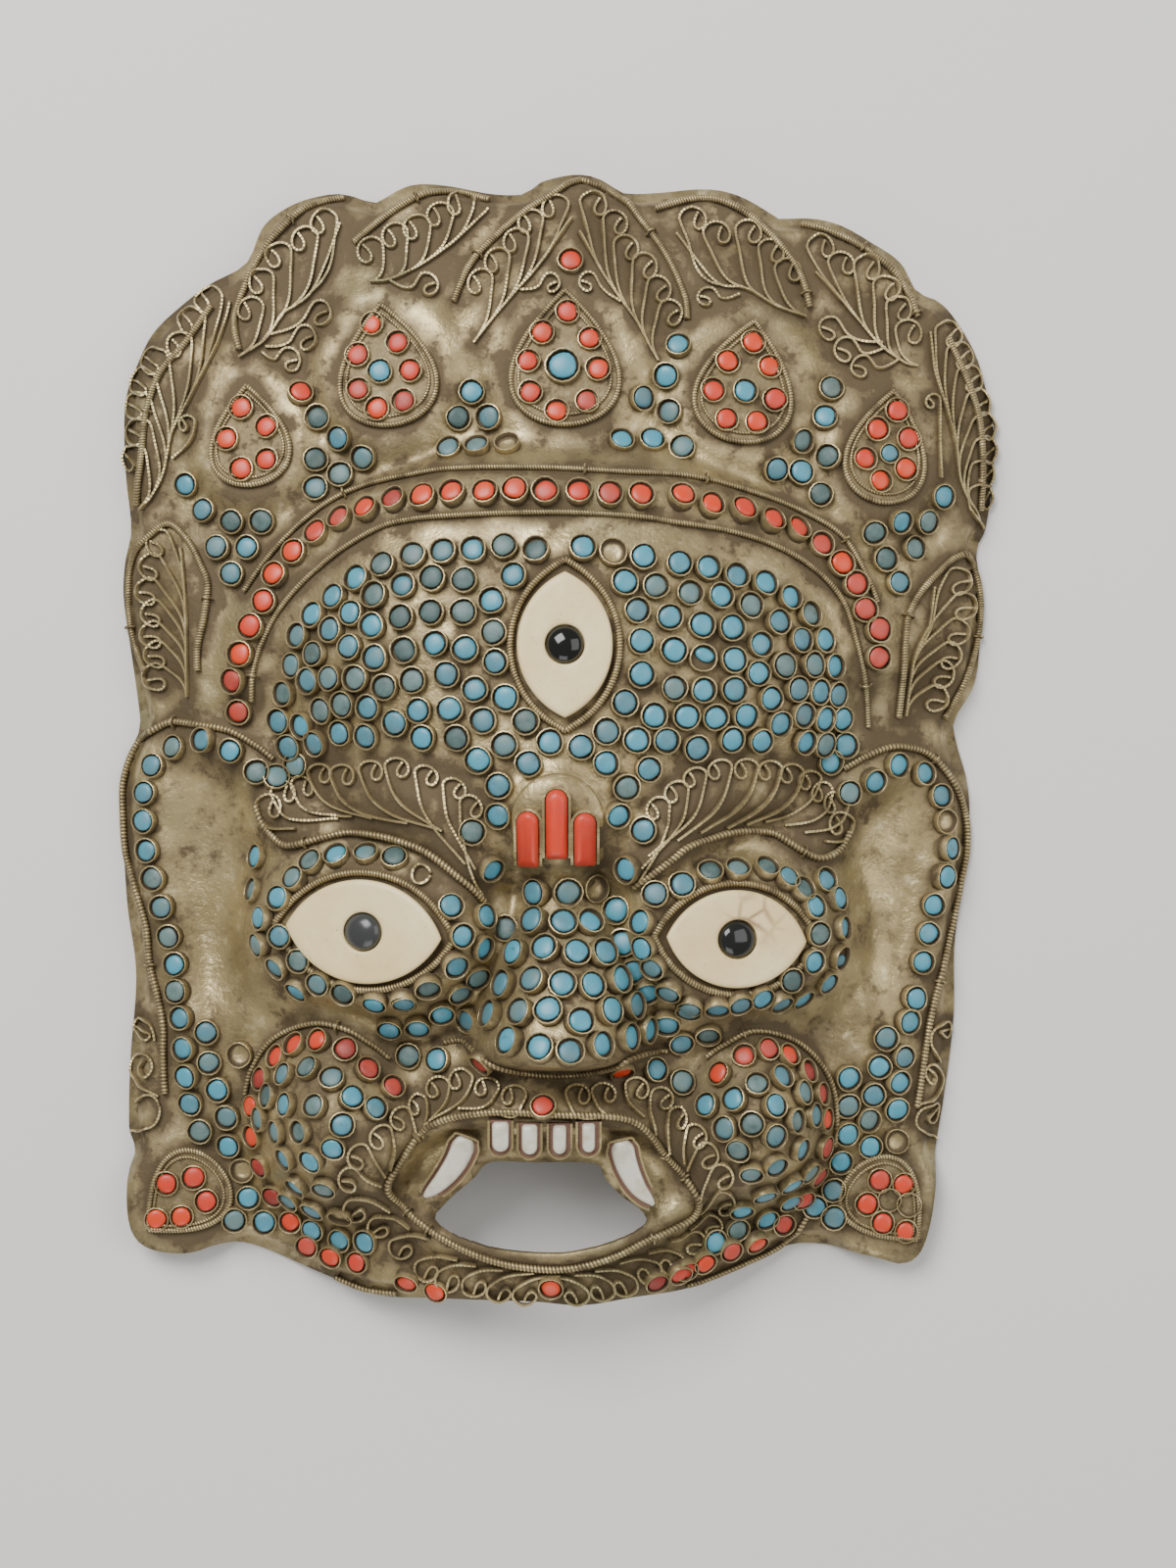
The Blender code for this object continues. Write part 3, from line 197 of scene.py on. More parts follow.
def inside_line(x, y, line):
    inside = np.zeros(np.shape(x), bool)
    for (ax, ay), (bx, by) in zip(line, np.roll(line, -1, axis=0)):
        crosses = (ay > y) != (by > y)
        run = np.where(crosses, by - ay, 1.0)
        inside ^= crosses & (x < (bx - ax) * (y - ay) / run + ax)
    return inside


def smoothstep(t):
    t = np.clip(t, 0.0, 1.0)
    return t * t * (3.0 - 2.0 * t)


def sighted(points, height):
    offsets = (np.array(points, float) - SIGHT_MIDDLE) * (1.0, -1.0) * SIGHT_UNIT
    return offsets * (1.0 - np.asarray(height)[..., None] / SIGHT_HEIGHT) + SIGHT_POINT


def sighted_on(points, surface):
    """Plan positions of sighted points that lie on a surface, found by closing in on its height."""
    height = np.zeros(len(points))
    for _ in range(20):
        x, y = sighted(points, height).T
        height += (surface(x, y) - height) / 2
    return sighted(points, height)


def chin(x, y):
    """How much of the chin's lift a plan position has, from 0 to 1."""
    across = np.clip((x - CHIN_X) / CHIN_HALF_WIDTH, -1.0, 1.0)
    return (1.0 - across**2) ** 2 * smoothstep((CHIN_TOP_Y - y) / CHIN_DEPTH)


def rim_height(x, y):
    return SHEET_WALL + CHIN_LIFT * chin(x, y)


def dome(x, y, form):
    """A rounded form of a centre, half sizes, a rise, a squareness and a softness of its foot."""
    centre_x, centre_y, half_width, half_height, rise, squareness, foot = form
    r = np.hypot((x - centre_x) / half_width, (y - centre_y) / half_height)
    return rise * (1.0 - np.clip(r, 0.0, 1.0) ** squareness) ** foot


def nose(x, y):
    down = np.clip((BRIDGE_Y - y) / (BRIDGE_Y - TIP_Y), 0.0, 1.0)
    half_width = BRIDGE_HALF_WIDTH + (WING_HALF_WIDTH - BRIDGE_HALF_WIDTH) * down**NOSE_WIDENING
    rise = BRIDGE_RISE + (TIP_RISE - BRIDGE_RISE) * down
    across = np.clip(np.abs(x - NOSE_X) / half_width, 0.0, 1.0)
    ends = smoothstep((BRIDGE_Y + NOSE_FADE - y) / NOSE_FADE) * smoothstep((y - NOSE_END_Y) / NOSE_UNDERCUT)
    return rise * (1.0 - across**NOSE_SQUARENESS) * ends


def lips(x, y):
    r = np.hypot((x - LIPS_CENTRE[0]) / LIPS_HALF_WIDTH, (y - LIPS_CENTRE[1]) / LIPS_HALF_HEIGHT)
    bulge = LIP_RISE * np.exp(-(((r - LIP_LINE) / LIP_BREADTH) ** 2))
    return bulge - MOUTH_DEPTH * smoothstep((1.0 - r) / MOUTH_FADE)


EDGE = smooth_line(sighted_on(OUTLINE, rim_height), 3.0, closed=True)
MIDDLE = (EDGE.min(axis=0) + EDGE.max(axis=0)) / 2
DIADEM = sighted(DIADEM_LINE, DIADEM_HEIGHT)
RIDGES = [(DIADEM, DIADEM_RIDGE)]
RIDGES += [(sighted(line, BROW_HEIGHT), BROW_RIDGE) for line in BROW_LINES]
RIDGES += [(sighted(line, EAR_HEIGHT), EAR_RIDGE) for line in EAR_RIMS]
RIDGES += [(sighted(line, LEAF_HEIGHT), LEAF_RIDGE) for line in LEAF_LINES]
SEATS = {}


def relief(x, y):
    """Height of the sheet's front above the floor, the seats of eyes and jewels flattened."""
    x, y = np.asarray(x, float), np.asarray(y, float)
    inset = nearest_on_line(x, y, EDGE, closed=True)[0] * np.where(inside_line(x, y, EDGE), 1.0, -1.0)
    inset = inset - RIM_FLANGE
    forms = nose(x, y) + lips(x, y)
    for form in (HEAD, FOREHEAD, MIDDLE_FACE, MUZZLE, CORAL_BOSS, *EYE_MOUNDS, *CHEEKS, *EAR_HOLLOWS):
        forms = forms + dome(x, y, form)
    for line, (half_width, rise) in RIDGES:
        d = nearest_on_line(x, y, line)[0]
        forms = forms + rise * (1.0 - np.clip(d / half_width, 0.0, 1.0) ** 2) ** 2
    z = rim_height(x, y) + ROLL_RISE * (1.0 - CHIN_FLATNESS * chin(x, y)) * smoothstep(inset / ROLL_WIDTH)
    z = z + forms * smoothstep(inset / FORM_FADE)
    for seat in SEATS.values():
        dx, dy = x - seat["centre"][0], y - seat["centre"][1]
        c, s = math.cos(seat["turn"]), math.sin(seat["turn"])
        along = (dx * c + dy * s) / (seat["half"][0] + SEAT_MARGIN)
        across = (dy * c - dx * s) / (seat["half"][1] + SEAT_MARGIN)
        flat = seat["height"] + seat["slope"][0] * dx + seat["slope"][1] * dy
        z = z + (flat - z) * smoothstep((SEAT_SPREAD - np.hypot(along, across)) / SEAT_FADE)
    return z


def make_seat(centre_x, centre_y, length, width, turn, lift):
    around = np.array([(0, 0), (1, 0), (-1, 0), (0, 1), (0, -1)]) * SEAT_STEP + (centre_x, centre_y)
    z = relief(around[:, 0], around[:, 1])
    return {
        "centre": (centre_x, centre_y), "height": z.mean() + lift,
        "slope": ((z[1] - z[2]) / (2 * SEAT_STEP), (z[3] - z[4]) / (2 * SEAT_STEP)),
        "half": (length / 2, width / 2), "turn": math.radians(turn),
    }


found = {name: make_seat(*eye, EYE_SEAT_LIFT) for name, eye in EYES.items()}
for number, (x, y, tall, wide, lean) in enumerate(CROWN_JEWELS, start=1):
    found[f"crown_jewel_{number}"] = make_seat(x, y, tall, wide, 90.0 + lean, CROWN_SEAT_LIFT)
for name, (x, y, tall, wide, lean) in CORNER_JEWELS.items():
    found[name] = make_seat(x, y, tall, wide, 90.0 + lean, EYE_SEAT_LIFT)
SEATS.update(found)
MOUTH_EDGE = smooth_line(sighted_on(MOUTH, relief), 1.5, closed=True)


def to_part(points):
    """Drawing millimetres to metres in the part's frame."""
    return (np.asarray(points, float) - (*MIDDLE, 0.0)) * MM


def at_height(plan, height):
    """Plan positions with one height for all, or one each, beside them."""
    return np.column_stack([plan, np.broadcast_to(height, len(plan))])


def on_sheet(plan, lift=0.0):
    return at_height(plan, relief(*plan.T) + lift)


def unit_rows(vectors):
    return vectors / np.linalg.norm(vectors, axis=1)[:, None]


def mask_normals(x, y, reach=2.2):
    slope_x = (relief(x + reach, y) - relief(x - reach, y)) / (2 * reach)
    slope_y = (relief(x, y + reach) - relief(x, y - reach)) / (2 * reach)
    return unit_rows(np.column_stack([-slope_x, -slope_y, np.ones(len(x))]))


def value_noise(x, y, size, seed):
    """Smooth random waves of about this size, between -1 and 1."""
    table = np.random.RandomState(seed).uniform(-1, 1, (128, 128))
    u, v = x / size + 500.0, y / size + 500.0
    i, j = np.floor(u).astype(int), np.floor(v).astype(int)
    s, t = smoothstep(u - i), smoothstep(v - j)
    corner = lambda a, b: table[(i + a) % 128, (j + b) % 128]
    low = corner(0, 0) * (1 - s) + corner(1, 0) * s
    high = corner(0, 1) * (1 - s) + corner(1, 1) * s
    return low * (1 - t) + high * t


def new_mesh(bm, name, smooth=True):
    mesh = bpy.data.meshes.new(name)
    bm.to_mesh(mesh)
    bm.free()
    if smooth:
        mesh.shade_smooth()
    return mesh


def add_piece(name, mesh, material, slot, *nodes):
    """A finished piece on the mask's one body, standing for the given nodes."""
    piece = bpy.data.objects.new(name, mesh)
    bpy.context.scene.collection.objects.link(piece)
    mesh.materials.append(material)
    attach(piece, "root")
    if nodes:
        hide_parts(*nodes)
    return piece


class Finish:
    """A material under construction: its shader, and short calls for the nodes that feed it."""

    def __init__(self, name, base, roughness, metallic=0.0):
        self.material = bpy.data.materials.new(name)
        self.material.use_nodes = True
        self.tree = self.material.node_tree
        self.shader = self.tree.nodes["Principled BSDF"]
        self.shader.inputs["Base Color"].default_value = (*base, 1.0)
        self.shader.inputs["Roughness"].default_value = roughness
        self.shader.inputs["Metallic"].default_value = metallic
        self.material.diffuse_color = (*base, 1.0)
        self.place = self.tree.nodes.new("ShaderNodeTexCoord").outputs["Object"]

    def feed(self, socket, value):
        """Links a socket to another node, or sets its number or colour."""
        if isinstance(value, bpy.types.NodeSocket):
            self.tree.links.new(value, socket)
        else:
            socket.default_value = (*value, 1.0) if isinstance(value, tuple) else value

    def node(self, kind, **inputs):
        made = self.tree.nodes.new(kind)
        for name, value in inputs.items():
            self.feed(made.inputs[name], value)
        return made

    def noise(self, scale, detail=3.0, roughness=0.55):
        return self.node("ShaderNodeTexNoise", Vector=self.place, Scale=scale, Detail=detail,
                         Roughness=roughness).outputs["Fac"]

    def attribute(self, name):
        made = self.tree.nodes.new("ShaderNodeAttribute")
        made.attribute_name = name
        return made.outputs["Fac"]

    def ramp(self, factor, *stops):
        """Colours or greys at places along a factor."""
        made = self.tree.nodes.new("ShaderNodeValToRGB")
        self.tree.links.new(factor, made.inputs["Fac"])
        elements = made.color_ramp.elements
        while len(elements) < len(stops):
            elements.new(0.5)
        for element, (place, colour) in zip(elements, stops):
            element.position = place
            colour = colour if isinstance(colour, tuple) else (colour,) * 3
            element.color = (*colour, 1.0)
        return made.outputs["Color"]

    def mix(self, factor, a, b):
        made = self.tree.nodes.new("ShaderNodeMix")
        made.data_type = "RGBA"
        for number, value in ((0, factor), (6, a), (7, b)):
            self.feed(made.inputs[number], value)
        return made.outputs[2]

    def math(self, operation, a, b):
        made = self.tree.nodes.new("ShaderNodeMath")
        made.operation = operation
        made.use_clamp = True
        self.feed(made.inputs[0], a)
        self.feed(made.inputs[1], b)
        return made.outputs[0]

    def colour(self, source):
        self.feed(self.shader.inputs["Base Color"], source)

    def rough(self, source):
        self.feed(self.shader.inputs["Roughness"], source)

    def bump(self, height, strength, distance):
        made = self.node("ShaderNodeBump", Height=height, Strength=strength, Distance=distance)
        self.feed(self.shader.inputs["Normal"], made.outputs["Normal"])


BRASS_BRIGHT, BRASS_AGED = (0.52, 0.41, 0.205), (0.31, 0.243, 0.118)
BRASS_WORN, BRASS_GRIME_AND_SHADE, VERDIGRIS = (0.74, 0.63, 0.37), (0.125, 0.092, 0.050), (0.21, 0.215, 0.115)


def brass_finish(name, lightness):
    """Pale brass, cream where hands have worn it and brown where grime and stains have settled and where
    shade is painted into angles and grooves.
    """
    finish = Finish(name, BRASS_AGED, 0.42, 0.6)
    wide, fine = finish.noise(55.0, 5.0), finish.noise(900.0, 3.0)
    blotches = finish.noise(190.0, 6.0, 0.68)
    clean = finish.mix(finish.ramp(wide, (0.38, 0.0), (0.64, 1.0)), BRASS_AGED, BRASS_BRIGHT)
    clean = finish.mix(finish.ramp(blotches, (0.30, 0.8), (0.44, 0.0)), clean, BRASS_WORN)
    green = finish.math("MULTIPLY", finish.ramp(finish.noise(24.0, 4.0), (0.55, 0.0), (0.75, 1.0)), 0.45)
    clean = finish.mix(green, clean, VERDIGRIS)
    stains = finish.ramp(blotches, (0.52, 0.0), (0.72, 1.0))
    # The brown mixes grime and stains with painted shade in angles and grooves, read from each point's value
    settled_and_shaded = finish.attribute("grime_and_shade")
    for pattern, strength in ((wide, 0.28), (fine, 0.22), (stains, 0.6)):
        settled_and_shaded = finish.math("ADD", settled_and_shaded, finish.math("MULTIPLY", pattern, strength))
    settled_and_shaded = finish.ramp(settled_and_shaded, (0.34 + lightness, 0.0), (0.95, 1.0))
    finish.colour(finish.mix(settled_and_shaded, clean, BRASS_GRIME_AND_SHADE))
    finish.rough(finish.ramp(settled_and_shaded, (0.0, 0.36), (1.0, 0.74)))
    finish.bump(finish.math("ADD", fine, finish.math("MULTIPLY", finish.noise(260.0), 0.8)), 0.5, 0.0004)
    return finish.material


sheet_brass = brass_finish("embossed brass", 0.0)
wire_brass = brass_finish("milled brass wire", 0.12)

bm = bmesh.new()
low, high = EDGE.min(axis=0) - SHEET_STEP, EDGE.max(axis=0) + SHEET_STEP
columns, rows = np.ceil((high - low) / SHEET_STEP).astype(int)
bmesh.ops.create_grid(bm, x_segments=int(columns), y_segments=int(rows), size=0.5)
bmesh.ops.scale(bm, verts=bm.verts, vec=(*(high - low), 1.0))
bmesh.ops.translate(bm, verts=bm.verts, vec=(*((high + low) / 2), 0.0))
plan = np.array([v.co[:2] for v in bm.verts])
edge_gap = nearest_on_line(*plan.T, EDGE, closed=True)[0]
mouth_gap = nearest_on_line(*plan.T, MOUTH_EDGE, closed=True)[0]
outside = ~inside_line(*plan.T, EDGE) | (edge_gap < SHEET_STEP * 0.35)
outside |= inside_line(*plan.T, MOUTH_EDGE) | (mouth_gap < SHEET_STEP * 0.35)
bmesh.ops.delete(bm, geom=[v for v, gone in zip(bm.verts, outside) if gone], context="VERTS")
rim = [v for v in bm.verts if v.is_boundary]
rim_plan = np.array([v.co[:2] for v in rim])
edge_gap, *at_edge = nearest_on_line(*rim_plan.T, EDGE, closed=True)
mouth_gap, *at_mouth = nearest_on_line(*rim_plan.T, MOUTH_EDGE, closed=True)
for v, nearer, edge_place, mouth_place in zip(rim, edge_gap < mouth_gap, zip(*at_edge), zip(*at_mouth)):
    v.co = (*(edge_place if nearer else mouth_place), 0.0)
sheet_plan = np.array([v.co[:2] for v in bm.verts])
dents = sum(deep * value_noise(*sheet_plan.T, wide, seed) for seed, (wide, deep) in enumerate(DENTS, start=1))
dents *= smoothstep((nearest_on_line(*sheet_plan.T, EDGE, closed=True)[0] - RIM_FLANGE) / ROLL_WIDTH)
for v, place in zip(bm.verts, to_part(on_sheet(sheet_plan, dents))):
    v.co = place
sheet = add_piece("mask_sheet_embossed", new_mesh(bm, "embossed sheet"), sheet_brass, "embossed_brass",
                  "mask_sheet")
wall = sheet.modifiers.new("Sheet thickness", "SOLIDIFY")
wall.thickness = SHEET_WALL * MM
wall.offset = -1.0

# The eyes: almond plates sawn from bone, each drilled through for a bead of black glass that stands
# proud of it. A milled wire is bent round each plate and soldered down to hold it.
PLATE_TOP, PLATE_CROWN, PLATE_PITS = 2.6, 0.12, 0.06
PUPIL_RADIUS, HOLE_RADIUS, PUPIL_FLATNESS, PUPIL_CUT = 4.2, 4.45, 0.6, -0.9
FRAME_LONGER, FRAME_TALLER = 5.4, 3.1
WIRE, FINE_WIRE, WIRE_LIFT = 1.8, 1.4, 0.42
# The ribs per pitch, their depth, and the grime with painted shade in the grooves between them
RIB_STEPS, RIB_DEPTH, RIB_GRIME_AND_SHADE = 4, 0.12, 0.4
grime_and_shade_places, wire_places = [], []


def blank(*layers):
    """An empty shape whose points will carry a value in each of these layers."""
    bm = bmesh.new()
    for layer in layers:
        bm.verts.layers.float.new(layer)
    return bm


def fill_layer(bm, name, value):
    layer = bm.verts.layers.float.new(name)
    for v in bm.verts:
        v[layer] = value


def closed_mesh(bm, name, smooth=True):
    bmesh.ops.recalc_face_normals(bm, faces=bm.faces)
    return new_mesh(bm, name, smooth)


def loft(bm, rings, closed=False, grime_and_shade=None):
    """A skin over rings of points in metres, welded round and, if open, capped at both ends."""
    count, sides = rings.shape[:2]
    spans = count if closed else count - 1
    made = bmesh.ops.create_grid(bm, x_segments=sides, y_segments=spans, size=0.5)["verts"]
    for v in made:
        i, j = round((v.co.x + 0.5) * sides) % sides, round((v.co.y + 0.5) * spans) % count
        v.co = rings[j, i]
        if grime_and_shade is not None:
            v[bm.verts.layers.float["grime_and_shade"]] = grime_and_shade[j, i]
    bmesh.ops.remove_doubles(bm, verts=made, dist=1e-8)
    if not closed:
        ends = {e for v in made if v.is_valid for e in v.link_edges if e.is_boundary}
        bmesh.ops.holes_fill(bm, edges=list(ends), sides=0)


def seat_place(seat, points):
    """Points on a seat, along, across and above it in millimetres, as places in the part."""
    c, s = math.cos(seat["turn"]), math.sin(seat["turn"])
    x = points[..., 0] * c - points[..., 1] * s
    y = points[..., 0] * s + points[..., 1] * c
    z = seat["height"] + seat["slope"][0] * x + seat["slope"][1] * y + points[..., 2]
    return to_part(np.stack([x + seat["centre"][0], y + seat["centre"][1], z], axis=-1))


def milled_wire(path, ups, diameter, closed=False, slant=1.0):
    """A wire with ribs along a path in drawing millimetres, with grime and painted shade in its grooves."""
    ahead = np.roll(path, -1, axis=0) - np.roll(path, 1, axis=0) if closed else np.gradient(path, axis=0)
    ahead = unit_rows(ahead)
    side = unit_rows(np.cross(ahead, ups))
    up = np.cross(side, ahead)
    turns = np.linspace(0.0, 2 * math.pi, 8, endpoint=False)
    ribs = np.cos(2 * math.pi * np.arange(len(path))[:, None] / RIB_STEPS + slant * turns)
    radius = diameter / 2 * (1.0 - RIB_DEPTH * (1.0 - ribs))
    offsets = (radius * np.cos(turns))[..., None] * side[:, None]
    offsets += (radius * np.sin(turns))[..., None] * up[:, None]
    bm = blank("grime_and_shade")
    loft(bm, to_part(path[:, None] + offsets), closed, RIB_GRIME_AND_SHADE * (1.0 - ribs))
    grime_and_shade_places.extend(path[::2])
    return closed_mesh(bm, "milled wire")


def wire_on_sheet(points, diameter, pitch, closed=False, slant=1.0):
    """A milled wire laid on the sheet along sighted points."""
    line = smooth_line(sighted_on(points, relief), pitch / RIB_STEPS, closed)
    ups = mask_normals(*line.T)
    path = on_sheet(line) + ups * diameter * WIRE_LIFT
    wire_places.extend(zip(path, np.gradient(path, axis=0), ups))
    return milled_wire(path, ups, diameter, closed, slant)


def wire_on_seat(name, outline, diameter, lift, pitch=0.68):
    """A milled wire bent to a closed outline on the seat of an eye or a jewel."""
    ring = smooth_line(outline, pitch / RIB_STEPS, closed=True)
    path = seat_place(SEATS[name], at_height(ring, lift)) / MM + (*MIDDLE, 0.0)
    return milled_wire(path, np.tile((0.0, 0.0, 1.0), (len(path), 1)), diameter, closed=True)


def almond(length, height, steps):
    """The pointed oval where two circles cross, long axis along X, anticlockwise."""
    radius = (length**2 + height**2) / (4 * height)
    reach = math.asin(length / 2 / radius)
    turns = np.linspace(-reach, reach, steps, endpoint=False)
    lower = np.stack([radius * np.sin(turns), radius - height / 2 - radius * np.cos(turns)], axis=1)
    return np.concatenate([lower, -lower])


def put_where(mesh, node):
    """Raises or lowers a piece to the height of the node that it stands for."""
    heights = [v.co.z for v in mesh.vertices]
    corner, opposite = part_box(node)
    raised = (corner[2] + opposite[2] - min(heights) - max(heights)) / 2
    mesh.transform(Matrix.Translation((0.0, 0.0, raised)))


bone_finish = Finish("bone plate", (0.84, 0.70, 0.40), 0.42)
yellowing = bone_finish.ramp(bone_finish.noise(60.0, 4.0), (0.3, 0.0), (0.75, 1.0))
aged = bone_finish.mix(yellowing, (0.87, 0.73, 0.41), (0.73, 0.55, 0.25))
pores = bone_finish.ramp(bone_finish.noise(1500.0, 2.0), (0.66, 0.0), (0.74, 1.0))
aged = bone_finish.mix(bone_finish.math("MULTIPLY", pores, 0.6), aged, (0.38, 0.27, 0.15))
cells = bone_finish.node("ShaderNodeTexVoronoi", Vector=bone_finish.place, Scale=170.0)
cells.feature = "DISTANCE_TO_EDGE"
cracks = bone_finish.ramp(cells.outputs["Distance"], (0.0, 1.0), (0.10, 0.0))
cracks = bone_finish.math("MULTIPLY", cracks, bone_finish.attribute("cracked"))
aged = bone_finish.mix(cracks, aged, (0.30, 0.17, 0.08))
bone_finish.colour(bone_finish.mix(bone_finish.attribute("grime_and_shade"), aged, (0.22, 0.14, 0.07)))
bone_finish.bump(bone_finish.math("SUBTRACT", bone_finish.noise(300.0), pores), 0.25, 0.0003)
bone_finish.shader.inputs["Subsurface Weight"].default_value = 0.08
bone_finish.shader.inputs["Subsurface Radius"].default_value = (0.002, 0.0012, 0.0006)

glass_finish = Finish("black glass", (0.008, 0.008, 0.008), 0.12)
cloud = glass_finish.attribute("cloud")
glass_finish.colour(glass_finish.mix(cloud, (0.007, 0.007, 0.007), (0.09, 0.095, 0.095)))
glass_finish.rough(glass_finish.ramp(cloud, (0.0, 0.1), (1.0, 0.45)))
PUPIL_CLOUD = {"third_eye": 0.0, "left_eye": 0.4, "right_eye": 0.05}
# The right plate's cracks lie about here from its middle, in millimetres
CRACKED_PLACE, CRACKED_REACH = (4.0, 5.0), 5.5
# From the hole's wall over the top to the edge and under it: the share of the way out and the height
plate_profile = [(0.0, 0.9), (0.0, 2.45), (0.03, PLATE_TOP)]
plate_profile += [(t, PLATE_TOP + PLATE_CROWN * (1 - t)) for t in np.linspace(0.1, 0.88, 12)]
plate_profile += [(0.95, 2.42), (0.985, 2.15), (1.0, 1.75), (1.0, 0.0), (0.9, -0.1)]

for name, (_, _, length, height, _) in EYES.items():
    seat = SEATS[name]
    outline = almond(length, height, 40)
    hole = unit_rows(outline) * HOLE_RADIUS
    rings = []
    for t, z in plate_profile:
        flat = hole + (outline - hole) * t
        pits = PLATE_PITS * value_noise(*(flat + seat["centre"]).T, 1.7, 5) * (0.05 < t < 0.97)
        rings.append(at_height(flat, z + pits))
    bm = bmesh.new()
    loft(bm, seat_place(seat, np.array(rings)))
    cracked = bm.verts.layers.float.new("cracked")
    middle = Vector(to_part([(*seat["centre"], 0.0)])[0]) + Vector((*CRACKED_PLACE, 0.0)) * MM
    for v in bm.verts:
        away = (v.co - middle).xy.length / MM / CRACKED_REACH
        v[cracked] = math.exp(-(away**2)) if name == "right_eye" else 0.0
    mesh = closed_mesh(bm, name)
    put_where(mesh, name)
    add_piece(f"{name}_bone", mesh, bone_finish.material, "bone", name)

    bm = bmesh.new()
    bmesh.ops.create_uvsphere(bm, u_segments=48, v_segments=24, radius=PUPIL_RADIUS)
    bmesh.ops.scale(bm, verts=bm.verts, vec=(1.0, 1.0, PUPIL_FLATNESS))
    everything = bm.verts[:] + bm.edges[:] + bm.faces[:]
    bmesh.ops.bisect_plane(bm, geom=everything, plane_co=(0, 0, PUPIL_CUT), plane_no=(0, 0, 1),
                           clear_inner=True)
    bmesh.ops.holes_fill(bm, edges=[e for e in bm.edges if e.is_boundary], sides=0)
    for v, place in zip(bm.verts, seat_place(seat, np.array([v.co[:] for v in bm.verts]))):
        v.co = place
    fill_layer(bm, "cloud", PUPIL_CLOUD[name])
    mesh = closed_mesh(bm, f"{name} pupil")
    put_where(mesh, f"{name}_pupil")
    add_piece(f"{name}_glass_pupil", mesh, glass_finish.material, "black_glass", f"{name}_pupil")

    round_it = almond(length + FRAME_LONGER, height + FRAME_TALLER, 24)
    frame_wire = wire_on_seat(name, round_it, WIRE, WIRE * 0.4)
    add_piece(f"{name}_milled_frame", frame_wire, wire_brass, "twisted_wire", f"{name}_frame")

# The turquoise: thin discs sawn from blue-green stone, each in a cup made of a strip of brass that
# is bent round it and soldered to the sheet. Some have sunk, some are dull or broken, a few are lost.
CUP_HEIGHT, CUP_UNEVEN, STONE_UNEVEN = 2.1, 0.012, 0.022
# How far under the cup's rim a stone sits, and how much depth, place, tilt, size and shade differ
STONE_DEPTH, DEPTH_SPREAD, PLACE_SPREAD = 0.42, 0.36, 0.16
TILT_SPREAD, SIZE_SPREAD, SHADE_SPREAD = 0.06, 0.035, 0.5
randoms = np.random.RandomState(41)


def spun(profile, steps, wobble=0.0, seed=0):
    """A small closed shape turned from a profile of radius, height and darkness (grime with painted shade),
    in millimetres.
    """
    bm = bmesh.new()
    layer = bm.verts.layers.float.new("grime_and_shade")
    chain = [bm.verts.new((radius * MM, 0.0, height * MM)) for radius, height, _ in profile]
    for v, (_, _, grime_and_shade) in zip(chain, profile):
        v[layer] = grime_and_shade
    edges = [bm.edges.new(pair) for pair in zip(chain, chain[1:])]
    bmesh.ops.spin(bm, geom=chain + edges, cent=(0, 0, 0), axis=(0, 0, 1), angle=2 * math.pi, steps=steps,
                   use_merge=True)
    bmesh.ops.remove_doubles(bm, verts=bm.verts, dist=1e-6)
    uneven = np.random.RandomState(seed).uniform(0.0, 2 * math.pi, 3)
    for v in bm.verts:
        turn = math.atan2(v.co.y, v.co.x)
        swell = 1.0 + wobble * sum(math.sin(k * turn + uneven[k - 2]) for k in (2, 3, 4))
        v.co.xy = v.co.xy * swell
    mesh = closed_mesh(bm, "turned shape")
    mesh.set_sharp_from_angle(angle=math.radians(48))
    return mesh


# The cup's darkness: painted shade with some brown cement and grime, darkest on the floor and inner wall
# round the stone and at its foot on the sheet, lightest on the rim
cup_profile = [(0.0, 0.7, 1.0), (2.78, 0.7, 1.0), (2.8, 1.98, 0.8), (2.92, 2.1, 0.1), (3.14, 2.04, 0.1),
               (3.2, 1.2, 0.35), (3.2, -0.6, 0.9), (0.0, -0.6, 0.9)]
cup_shapes = [spun(cup_profile, 15, CUP_UNEVEN, seed) for seed in range(3)]
empty_cup = spun([(0.0, 0.3, 0.05), (1.5, 0.4, 0.15), (2.6, 0.9, 0.9)] + cup_profile[2:], 15, CUP_UNEVEN)
# The stone's darkness: painted shade on its sides and underside, in the gap inside the cup
stone_profile = [(0.0, 0.42, 0.0), (1.2, 0.37, 0.0), (2.0, 0.2, 0.0), (2.34, -0.04, 0.0), (2.42, -0.4, 1.0),
                 (2.42, -1.3, 1.0), (0.0, -1.3, 1.0)]
stone_shapes = [spun(stone_profile, 14, STONE_UNEVEN, seed) for seed in range(5)]
# What is left of a broken disc: the cut side moved in, and the disc a little lower
chipped_half = Matrix.Translation((0.8 * MM, 0.0, -0.6 * MM)) @ Matrix.Diagonal((0.62, 0.95, 1.0, 1.0))


def stamp(bm, shape, matrix, **values):
    """A copy of a small shape added to a mesh, its points carrying these values."""
    before = len(bm.verts)
    bm.from_mesh(shape)
    bm.verts.ensure_lookup_table()
    added = bm.verts[before:]
    bmesh.ops.transform(bm, matrix=matrix, verts=added)
    for name, value in values.items():
        layer = bm.verts.layers.float[name]
        for v in added:
            v[layer] = value


def square_to(normal, place, turn, size):
    """Sets a small shape at a place, square to a direction, turned about it and sized."""
    across = Vector((0.0, 1.0, 0.0)).cross(normal).normalized()
    upright = Matrix((across, normal.cross(across), normal)).transposed().to_4x4()
    sized = Matrix.Rotation(turn, 4, "Z") @ Matrix.Diagonal((size, size, size, 1.0))
    return Matrix.Translation(place) @ upright @ sized


